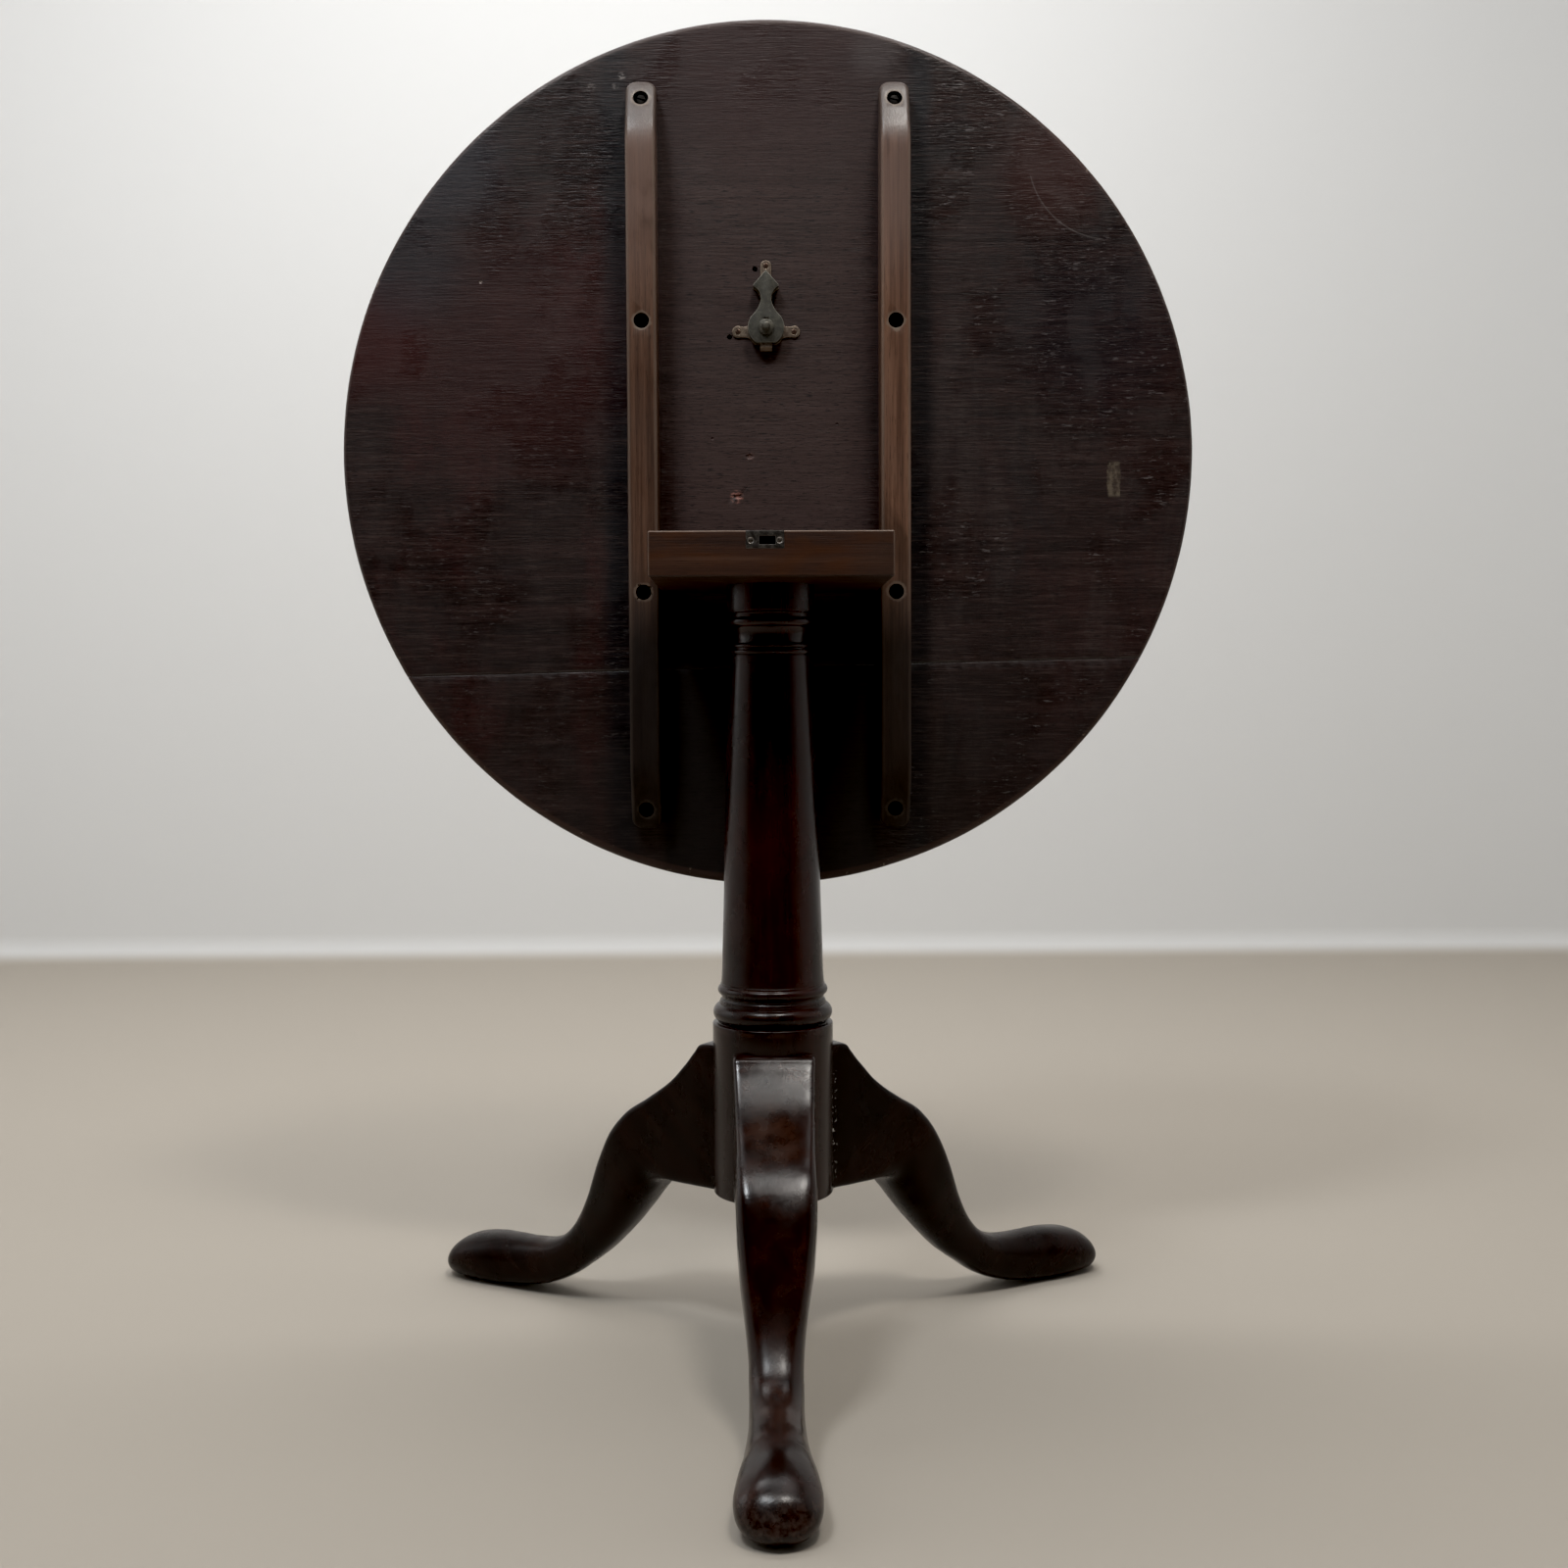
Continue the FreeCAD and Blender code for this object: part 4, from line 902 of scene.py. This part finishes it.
# the block's grain runs along X; the strike is let in flush, with a mortise behind its slot
SLOT_LOW, SLOT_HIGH = (-9.6, 686.0), (3.4, 692.8)
STRIKE_SCREWS_X, STRIKE_SCREW_Z = (-16.4, 6.6), 689.4
SEAT, TENON = 0.12, 19.0
carve(block, [
    block_solid("leaf_seat", (strike_low.x - SEAT, BLOCK_FRONT - 3, strike_low.z - SEAT),
                (strike_high.x + SEAT, BLOCK_FRONT + 1.4, BLOCK_TOP + 3)),
    block_solid("flange_seat", (strike_low.x - SEAT, BLOCK_FRONT - 3, BLOCK_TOP - 1.6),
                (strike_high.x + SEAT, BLOCK_FRONT + 9, BLOCK_TOP + 3)),
    block_solid("mortise", (SLOT_LOW[0], BLOCK_FRONT - 2, SLOT_LOW[1]),
                (SLOT_HIGH[0], BLOCK_FRONT + 8, SLOT_HIGH[1])),
    turned("tenon_hole", [(0, BLOCK_FOOT - 5), (TENON + 0.05, BLOCK_FOOT - 5),
                          (TENON + 0.05, BLOCK_TOP + 5), (0, BLOCK_TOP + 5)], 64)])
pins = [turned("pin", [(0, 96 * side), (TRUNNION, 96 * side), (TRUNNION, 126.4 * side),
                       (TRUNNION - 0.6, 127 * side), (0, 127 * side)], 48, "X",
               (0, PIVOT_Y, PIVOT_HEIGHT)) for side in (-1, 1)]
carve(block, pins, "UNION")


def block_material():
    tree = Tree("mahogany_block")
    place, x, y, z = tree.place()
    colour, fibres, pores = wood_colour(tree, (0.018, 0.0068, 0.0042), (0.036, 0.0135, 0.0078),
                                        (0.066, 0.027, 0.014), 0.5, 2.7)
    # warmer to the left, browner at the right end; the underside painted dark as shade
    warm = place.noise((14, 14, 30), 4.0, 0.6, 0.8).fade(0.46, 0.66)
    colour = colour.mix(warm * 0.45, (0.082, 0.03, 0.0125))
    colour = colour.mix(x.fade(0.055, 0.098) * 0.45, (0.044, 0.026, 0.02))
    arris = z.fade((BLOCK_TOP - 1.5) * MM, (BLOCK_TOP - 0.5) * MM)
    foot = z.fade((BLOCK_FOOT + 1.6) * MM, (BLOCK_FOOT + 0.5) * MM)
    ends_worn = abs(x).fade((BLOCK_HALF - 1.6) * MM, (BLOCK_HALF - 0.5) * MM)
    face = y.fade((BLOCK_FRONT + 3) * MM, (BLOCK_FRONT + 1.2) * MM)
    worn = tree.larger(arris, ends_worn * 0.55) * face
    worn = tree.math("MULTIPLY", worn, place.noise((70, 70, 70), 3.0, 0.6).range(0.2, 0.85), clamp=True)
    colour = colour.mix(worn, (0.26, 0.175, 0.125))
    # painted shade along the block's lower arris
    colour = colour.mix(foot * 0.5, (0.012, 0.006, 0.004))
    stroke = tree.near(x * 0.05, z, (-0.002, 0.675), 0.0006, 0.0022)
    colour = colour.mix(stroke * 0.25, (0.12, 0.065, 0.045))
    height = fibres * 0.7 + pores * -0.4
    roughness = warm.range(0.5, 0.38)
    return tree.finish(colour, roughness, tree.bump(height, 0.0006, 0.5), specular=0.4, coat=0.06,
                       coat_roughness=0.3)


set_grain(block, ALONG_X)
finish_mesh(block)
part(block, block_material(), "stand", "block_wood", "pivot_block")

# ---- Strike plate, let into the block's front edge ----
STRIKE_THICKNESS = 1.6
leaf = block_solid("strike_iron", strike_low,
                   (strike_high.x, strike_low.y + STRIKE_THICKNESS, strike_high.z))
carve(leaf, [block_solid("flange", (strike_low.x, strike_low.y, strike_high.z - STRIKE_THICKNESS),
                         strike_high)], "UNION")
carve(leaf, [block_solid("strike_slot", (SLOT_LOW[0], strike_low.y - 2, SLOT_LOW[1]),
                         (SLOT_HIGH[0], strike_low.y + 4, SLOT_HIGH[1]))]
      + [turned("strike_hole", [(0, -2), (1.25, -2), (1.25, 0.4), (2.65, 1.65), (2.65, 4), (0, 4)], 32,
                "-Y", (px, strike_low.y + STRIKE_THICKNESS, STRIKE_SCREW_Z)) for px in STRIKE_SCREWS_X])
ease_rims(leaf, lambda point: point.y < strike_low.y + 0.1 or point.z > strike_high.z - 0.1, 0.28)
finish_mesh(leaf)
strike_metal = metal_material("dark_strike_iron", (0.045, 0.04, 0.037), (0.15, 0.137, 0.125), 0.4,
                              (0.022, 0.018, 0.016), 0.8, 1.0, (0.5, 0.46, 0.42))
part(leaf, strike_metal, "stand", "strike_iron", "strike_plate")
strike_heads = [screw((px, strike_low.y + 0.15, STRIKE_SCREW_Z), 2.5, 1.2, 1.1, 11, turn, dome=0.3)
                for px, turn in zip(STRIKE_SCREWS_X, (4, 38))]
part(finish_mesh(joined("strike_screw_heads", strike_heads)), old_steel, "stand", "dark_steel",
     "strike_screws")

# ---- Turned column ----
DRUM, DRUM_FOOT = 52.0, box_mm("column")[0].z


def column_profile():
    """(radius, height) up the turning, from the axis at the foot to the axis at the head."""
    points = [(0, DRUM_FOOT)]
    points += arc((DRUM - 1.6, DRUM_FOOT + 1.6), 1.6, -90, 0, 5)
    points += [(DRUM, z) for z in (150, 165, 180, 195, 210, 225, 240, 252, 262, 270)]
    # a crisp rim, a quirk, then the big torus with two small steps on it
    points += arc((DRUM - 1.3, 283.6), 1.3, 0, 85, 5)
    points += [(49.4, 285.0), (48.4, 285.3), (47.9, 285.9)]
    points += arc((43.4, 293.6), 8.1, -64, 70, 18)
    points += [(46.1, 301.6), (46.1, 302.8), (45.6, 303.1), (45.5, 304.4), (45.1, 304.7)]
    # a narrow cove, then the bead and its fillet
    points += bulge((45.0, 305.0), (44.8, 308.4), 0.9, 6)
    points += [(45.0, 308.8)]
    points += arc((43.1, 313.2), 4.4, -60, 62, 12)
    points += [(45.0, 317.4), (45.0, 318.8), (44.5, 319.3)]
    points += bulge((44.5, 320.2), (43.4, 345), 0.25, 5)
    points += [(42.75, 365), (42.1, 385), (41.6, 405), (41.0, 430), (40.3, 455), (39.6, 480),
               (38.9, 505), (37.9, 530), (36.9, 555), (35.8, 578), (34.9, 596)]
    # the double ring, the neck and the ring under the head
    points += [(34.9, 600.2), (34.5, 600.6), (34.5, 601.2)]
    points += arc((33.7, 603.6), 2.2, -75, 75, 7)
    points += [(34.1, 606.1), (34.0, 606.6)]
    points += arc((33.2, 608.6), 1.9, -70, 70, 6)
    points += [(33.0, 610.9), (32.4, 611.4)]
    points += bulge((32.2, 612.0), (32.9, 623.2), 1.25, 9)
    points += [(33.6, 624.4), (34.1, 624.8)]
    points += arc((33.3, 629.2), 4.2, -72, 72, 9)
    points += [(34.7, 634.0), (34.6, 635.8), (35.0, 636.6), (36.9, 637.4)]
    points += arc((36.4, 638.9), 1.0, -60, 0, 3)
    points += [(37.4, 645), (37.4, 652), (37.4, BLOCK_FOOT - 0.02), (TENON, BLOCK_FOOT - 0.02),
               (TENON, BLOCK_TOP - 0.6), (TENON - 0.4, BLOCK_TOP - 0.15), (0, BLOCK_TOP - 0.15)]
    return points


column = turned("column_turned", column_profile(), 160)
LEG_WAYS = {"front_leg": 270, "rear_right_leg": 34, "rear_left_leg": 146}
TONGUE_TOP = 250.0


def dovetail(name, way, grow, low, high, inner=36.0, outer=54.0):
    """The prism of a leg's sliding dovetail, wider at its tip inside the drum."""
    at = lambda r: 8 + (52 - r) * 4 / 16 + grow
    turn = Matrix.Rotation(math.radians(way), 3, "Z")
    rings = [[turn @ Vector(p) for p in ((inner, -at(inner), level_z), (outer, -at(outer), level_z),
                                         (outer, at(outer), level_z), (inner, at(inner), level_z))]
             for level_z in (low, high)]
    return skin(name, rings)


carve(column, [dovetail("socket_" + name, way, 0.06, DRUM_FOOT - 3, TONGUE_TOP, 35.9, 56)
               for name, way in LEG_WAYS.items()])
carve(column, [block_solid("kerf", (-1.5, -21, BLOCK_TOP - 28), (1.5, 21, BLOCK_TOP + 2))])
# the long taper is a little uneven, as a turner leaves it
for vert in column.data.vertices:
    point = vert.co / MM
    if 320 < point.z < 598:
        swell = noise.noise(point * 0.02) * 0.12
        flat = Vector((point.x, point.y, 0)).normalized()
        vert.co += flat * swell * MM


def polished_material(name, dark, middle, light, seed, red=0.5, roughness=(0.2, 0.34), wear=None,
                      specks=None, ripple=0.3, specular=0.22):
    """Near-black polished mahogany; wear(tree, place, x, y, z) may return a mask of rubbed wood."""
    tree = Tree(name)
    place, x, y, z = tree.place()
    colour, fibres, pores = wood_colour(tree, dark, middle, light, 0.35, seed)
    glow = place.noise((12, 12, 5), 4.0, 0.6, 0.6).fade(0.45, 0.68)
    colour = colour.mix(glow * red, light)
    grime = place.noise((26, 26, 12), 5.0, 0.65, 0.5).fade(0.5, 0.72)
    colour = colour.mix(grime * 0.6, tuple(channel * 0.35 for channel in dark))
    rough = place.noise((30, 30, 18), 4.0, 0.6).fade(0.35, 0.7).range(*roughness)
    if wear is not None:
        for mask, rubbed in wear(tree, place, x, y, z):
            colour = colour.mix(mask, rubbed)
    if specks is not None:
        spots = place.noise((420, 420, 300), 2.0, 0.5).fade(0.62, 0.66)
        colour = colour.mix(specks(tree, x, y, z) * spots, (0.55, 0.52, 0.48))
    height = fibres * 0.25 + place.noise((60, 60, 60), 4.0, 0.55) * ripple
    height = height + place.noise((260, 260, 260), 3.0, 0.6) * (ripple * 0.35)
    return tree.finish(colour, rough, tree.bump(height, 0.0009, 0.35), specular=specular)


def joint_specks(tree, x, y, z):
    """Old white specks down the joint of the drum and the right rear leg."""
    line = tree.near(x, y, (0.053, -0.0065), 0.0022, 0.002)
    return line * (z.fade(0.14, 0.16) * z.fade(0.25, 0.235))


def column_wear(tree, place, x, y, z):
    rims = None
    for height, width in ((281.0, 1.5), (296.9, 1.0), (317.0, 0.9), (605.0, 1.0), (633.5, 1.0)):
        near = abs(z - height * MM).fade(width * 1.6 * MM, width * 0.5 * MM)
        rims = near if rims is None else tree.larger(rims, near)
    broken = place.noise((60, 60, 60), 3.0, 0.6).fade(0.4, 0.6)
    drum = z.fade(0.279, 0.27) * 0.25
    return [(rims * broken * 0.3, (0.06, 0.028, 0.018)), (drum, (0.02, 0.012, 0.01))]


set_grain(column, ALONG_Z)
finish_mesh(column, 30)
part(column, polished_material("column_polish", (0.0032, 0.001, 0.0007), (0.0085, 0.0018, 0.001),
                               (0.03, 0.0045, 0.002), 0.4, 0.55, wear=column_wear,
                               specks=joint_specks, ripple=0.09, specular=0.32),
     "stand", "turned_wood", "column")

# ---- Legs: cabriole, with slipper feet ----
# Sections along a leg that points out along +X, from its root to its toe: top (out, height), sole
# (out, height), half width, squareness of the top's corners and of the sole's (2 is an ellipse)
LEG_SECTIONS = [
    (36, 264.4, 36, 136, 34.5, 20, 9), (54, 264, 55, 136, 34.0, 20, 9),
    (61, 257.6, 64, 136, 33.5, 18, 9), (71, 245.8, 76, 136, 32.6, 16, 9),
    (90, 227, 94, 136, 31.6, 14, 9), (116, 209, 107, 134, 30.9, 11, 5.5),
    (142, 193, 115, 128, 30.9, 8.5, 3.0), (163, 171, 126, 115, 30.6, 6.5, 2.7),
    (180, 142, 142, 95, 28.6, 5.0, 2.6), (196, 107, 163, 71, 24.7, 4.0, 2.5),
    (212.5, 79.5, 184.5, 50.5, 21.5, 3.2, 2.5), (231, 61, 206, 34.5, 20.6, 2.8, 2.5),
    (252, 51.5, 231, 18, 20.6, 2.5, 2.6), (273, 48.5, 261, 7, 22, 2.3, 2.9),
    (297, 47.5, 295, 1.5, 25, 2.2, 3.2), (322, 46, 322, 0, 29, 2.15, 3.4),
    (347, 41.5, 346, 0, 31, 2.1, 3.2), (364, 33.5, 362, 0.5, 27.5, 2.1, 2.8),
    (374, 22, 372, 4, 17.5, 2.05, 2.3), (378.6, 13.5, 378.2, 10.5, 4, 2.0, 2.0)]


def leg(name, way, seed, fuller=0.0):
    """A leg; fuller widens the left side of its knee, seen from the column, as the front leg's is."""
    rings = []
    for top_out, top_up, sole_out, sole_up, half, square, sole_square in catmull(LEG_SECTIONS, 6):
        centre = Vector(((top_out + sole_out) / 2, 0, (top_up + sole_up) / 2))
        reach = Vector(((top_out - sole_out) / 2, 0, (top_up - sole_up) / 2))
        ring = []
        for angle in full_turn(96):
            corner = max(square if math.sin(angle) > 0 else sole_square, 2)
            # the same corner, in millimetres, across and along the section
            corner_up = max(corner * reach.length / half, 2)
            across = signed_power(math.cos(angle), 2 / corner)
            rise = signed_power(math.sin(angle), 2 / corner_up)
            knee = fuller * math.exp(-((centre.z - 150) / 45) ** 2) if across > 0 else 0
            point = centre + reach * rise + Vector((0, (half + knee) * across, 0))
            ring.append((point.x, point.y, max(point.z, 0.0)))
        rings.append(ring)
    obj = skin(name, rings)
    for size, scale, shift in ((0.45, 0.03, 0), (0.16, 0.09, 4)):
        hand_made(obj, size, scale, seed + shift, lambda point: min(1.0, max(0.0, (point.z - 2) / 8)))
    carve(obj, [turned("drum_space", [(0, -10), (DRUM + 0.03, -10), (DRUM + 0.03, 400), (0, 400)], 160)])
    obj.data.transform(Matrix.Rotation(math.radians(way), 4, "Z"))
    carve(obj, [dovetail("tongue_" + name, way, 0, DRUM_FOOT, TONGUE_TOP - 0.1)], "UNION")
    # the grain runs along the leg's slope
    out = Matrix.Rotation(math.radians(-way), 3, "Z")
    tilt = Matrix.Rotation(math.radians(-38), 3, "Y").transposed()
    set_grain(obj, (tilt @ out)[:])
    return finish_mesh(obj, 38)


def leg_wear(way, strength):
    """Rubbed places along a leg: its knee, ankle and toe, which lie along the way it points."""
    ahead = Vector((math.cos(math.radians(way)), math.sin(math.radians(way))))

    def masks(tree, place, x, y, z):
        out = x * ahead.x + y * ahead.y
        across = abs(x * ahead.y - y * ahead.x)
        patchy = place.noise((40, 40, 18), 5.0, 0.66, 0.3).fade(0.34, 0.7)
        fine = place.noise((190, 190, 190), 4.0, 0.65).fade(0.4, 0.66)
        middle = across.fade(0.026, 0.01)
        knee = z.fade(0.186, 0.206) * z.fade(0.246, 0.222) * middle
        toe = out.fade(0.318, 0.345) * z.fade(0.04, 0.02)
        instep = tree.near(out, z, (0.262, 0.047), 0.012, 0.034) * middle
        both = tree.larger(knee * 0.85, instep * 0.6)
        return [(both * patchy * strength, (0.05, 0.0225, 0.0145)),
                (toe * fine * (0.4 * strength), (0.085, 0.06, 0.05))]
    return masks


for number, (name, way) in enumerate(LEG_WAYS.items()):
    obj = leg("cabriole_" + name, way, 2.0 + 3 * number, 3.0 if name == "front_leg" else 0.0)
    # the front leg is the most rubbed; the rear ones keep more of their dark polish, and their colours are
    # painted darker as shade
    front = name == "front_leg"
    tones = [tuple(channel * (1.15 if front else 0.6) for channel in colour) for colour in (
        (0.003, 0.0011, 0.0008), (0.0078, 0.0026, 0.0018), (0.024, 0.008, 0.005))]
    part(obj, polished_material("leg_polish_" + name, *tones, 1.0 + number, 0.45,
                                (0.15, 0.31) if front else (0.19, 0.34),
                                leg_wear(way, 1.0 if front else 0.35),
                                joint_specks if name == "rear_right_leg" else None, 0.42,
                                0.36 if front else 0.15),
         "stand", "leg_wood", name)

# ---- Spring catch on the underside ----
CATCH_X, KNOB_Z = -2.4, 901.0
PLATE_Y, CASE_Y = UNDERSIDE - 1.5, UNDERSIDE - 11.0
LUGS = [(0, 958.0), (-25.6, 898.5), (25.6, 898.5)]


def shifted(outline):
    return [(px + CATCH_X, pz) for px, pz in outline]


def mirrored(half):
    """A closed outline from its right half, which runs from the top of the axis to the foot."""
    return half + [(-px, pz) for px, pz in reversed(half) if abs(px) > 1e-6]


case_half = [(0, 952.0), (11.3, 939.4), (11.5, 938.2)]
case_half += bulge((11.2, 937.6), (4.7, 928.2), -1.5, 6)
case_half += bulge((4.6, 925.6), (12.6, 911.6), -1.3, 7)
case_half += arc((0, KNOB_Z), 16.5, 36, -58, 18)
plate_half = [(0, 963.0), (2.6, 962.3), (4.4, 960.6), (5.0, 958), (5.0, 946.5), (9.5, 941.0), (11.9, 938.6)]
plate_half += bulge((11.6, 937.4), (5.0, 928.2), -1.5, 6)
plate_half += bulge((5.0, 925.4), (13.0, 911.6), -1.3, 6) + arc((0, KNOB_Z), 17.0, 36, 14, 4)
plate_half += bulge((17.2, 903.6), (22.6, 903.2), -0.5, 3)
plate_half += arc((25.6, 898.5), 5.4, 118, -118, 14)
plate_half += bulge((22.4, 893.4), (15.2, 892.6), -0.6, 3) + arc((0, KNOB_Z), 17.0, -30, -56, 5)
catch_plate = prism("catch_plate_brass", shifted(mirrored(plate_half)), UNDERSIDE + 0.1, PLATE_Y, 0.45)
lug_hole = [(0, -3), (1.25, -3), (1.25, 0.4), (3.15, 1.3), (3.15, 4), (0, 4)]
carve(catch_plate, [turned("lug_hole", lug_hole, 32, "-Y", (px + CATCH_X, UNDERSIDE, pz)) for px, pz in LUGS])
catch_case = prism("catch_case_bronze", shifted(mirrored(case_half)), PLATE_Y, CASE_Y, 0.55)
carve(catch_case, [
    block_solid("channel", (CATCH_X - 5.5, UNDERSIDE - 9.3, 870), (CATCH_X + 5.5, UNDERSIDE - 1.55, 918.1)),
    block_solid("spring_way", (CATCH_X - 2.9, UNDERSIDE - 9.3, 910), (CATCH_X + 2.9, UNDERSIDE - 1.55, 938)),
    block_solid("knob_way", (CATCH_X - 2.7, CASE_Y - 2, KNOB_Z - 2.7),
                (CATCH_X + 2.7, UNDERSIDE - 5, KNOB_Z + 8.7))])

bolt = block_solid("bolt_brass", (CATCH_X - 5.4, UNDERSIDE - 9.2, 889.5),
                   (CATCH_X + 5.4, UNDERSIDE - 1.6, 912))
nose = prism("nose", shifted([(-5.4, 880), (5.4, 880), (5.4, 890), (-5.4, 890)]), UNDERSIDE - 5.4,
             UNDERSIDE - 9.1)
# the nose's tip is cut to a slope, so that closing the top pushes the bolt back
for vert in nose.data.vertices:
    if vert.co.z < 0.8801 and vert.co.y < (UNDERSIDE - 9.0) * MM:
        vert.co.z += 3.0 * MM
carve(bolt, [nose], "UNION")
ease_rims(bolt, lambda point: point.z < 889, 0.4)
knob = turned("knob_turned", [
    (0, -8), (2.6, -8), (2.6, 0.3), (6.6, 0.3), (7.1, 0.55), (7.2, 1.0), (7.1, 1.5), (6.6, 1.8),
    (5.2, 2.0), (4.3, 2.3), (3.6, 2.9), (3.1, 3.7), (2.9, 4.4), (3.0, 5.0), (3.5, 5.4), (3.8, 6.0),
    (3.8, 6.6), (3.4, 7.3), (2.6, 7.7), (1.4, 7.9), (0, 7.95)], 48, "-Y", (CATCH_X, CASE_Y, KNOB_Z))
catch_heads = [screw((px + CATCH_X, PLATE_Y - 0.1, pz), 2.55, 1.2, 1.1, 11, turn)
               for (px, pz), turn in zip(LUGS, (88, 62, 97))]

brass = metal_material("aged_brass", (0.135, 0.1, 0.077), (0.28, 0.22, 0.17), 0.42,
                       (0.05, 0.032, 0.024), 0.6, 1.0, (0.42, 0.33, 0.25))
brass_screws = metal_material("old_brass_screws", (0.055, 0.03, 0.022), (0.15, 0.085, 0.062), 0.4,
                              (0.022, 0.013, 0.01), 0.7, 1.0, (0.42, 0.33, 0.25))
bronze = metal_material("dark_bronze", (0.06, 0.057, 0.048), (0.105, 0.1, 0.083), 0.46,
                        (0.034, 0.031, 0.026), 0.35, 1.0, (0.34, 0.32, 0.27))
knob_bronze = metal_material("rubbed_bronze", (0.07, 0.064, 0.052), (0.13, 0.12, 0.098), 0.48,
                             (0.03, 0.026, 0.021), 0.45)
for obj, material, body, slot, node in (
        (catch_plate, brass, "top", "brass", "catch_base_plate"),
        (catch_case, bronze, "top", "bronze", "catch_case"),
        (bolt, brass, "catch bolt", "brass", "catch_bolt"),
        (knob, knob_bronze, "catch bolt", "brass", "catch_knob"),
        (joined("catch_screw_heads", catch_heads), brass_screws, "top", "brass", "catch_screws")):
    part(finish_mesh(obj), material, body, slot, node)

# The catch's spring: a coil behind the bolt, which in the real catch shortens by the bolt's travel; here it
# keeps one length
SPRING_WIRE, SPRING_TURNS, BOLT_TRAVEL = 0.45, 8, 6.0
spring_low, spring_high = box_mm("catch_spring")
spring_middle = (spring_low + spring_high) / 2
coil_rings = []
for step in range(SPRING_TURNS * 24 + 1):
    turn = 2 * math.pi * step / 24
    way = Vector((math.cos(turn), math.sin(turn), 0))
    height = spring_low.z + SPRING_WIRE + (spring_high.z - spring_low.z - 2 * SPRING_WIRE) * step / (
        SPRING_TURNS * 24)
    wire = Vector((spring_middle.x, spring_middle.y, height)) + way * (
        (spring_high.x - spring_low.x) / 2 - SPRING_WIRE)
    coil_rings.append([wire + way * across + Vector((0, 0, rise))
                       for across, rise in arc((0, 0), SPRING_WIRE, 0, 315, 7)])
coil = finish_mesh(skin("spring_coil", coil_rings), 60)
part(coil, old_steel, "top", "dark_steel", "catch_spring")
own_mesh(coil)

# ---- A CAD node that stays as it is, with a better material ----
tree = Tree("wedge_end_grain")
rings = tree.place()[0].noise((900, 120, 120), 4.0, 0.6)
dress(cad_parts["tenon_wedge"], tree.finish(
    tree.ramp(rings, [(0.3, (0.045, 0.022, 0.012)), (0.7, (0.14, 0.075, 0.04))]), 0.55,
    tree.bump(rings, 0.0003, 0.4)))
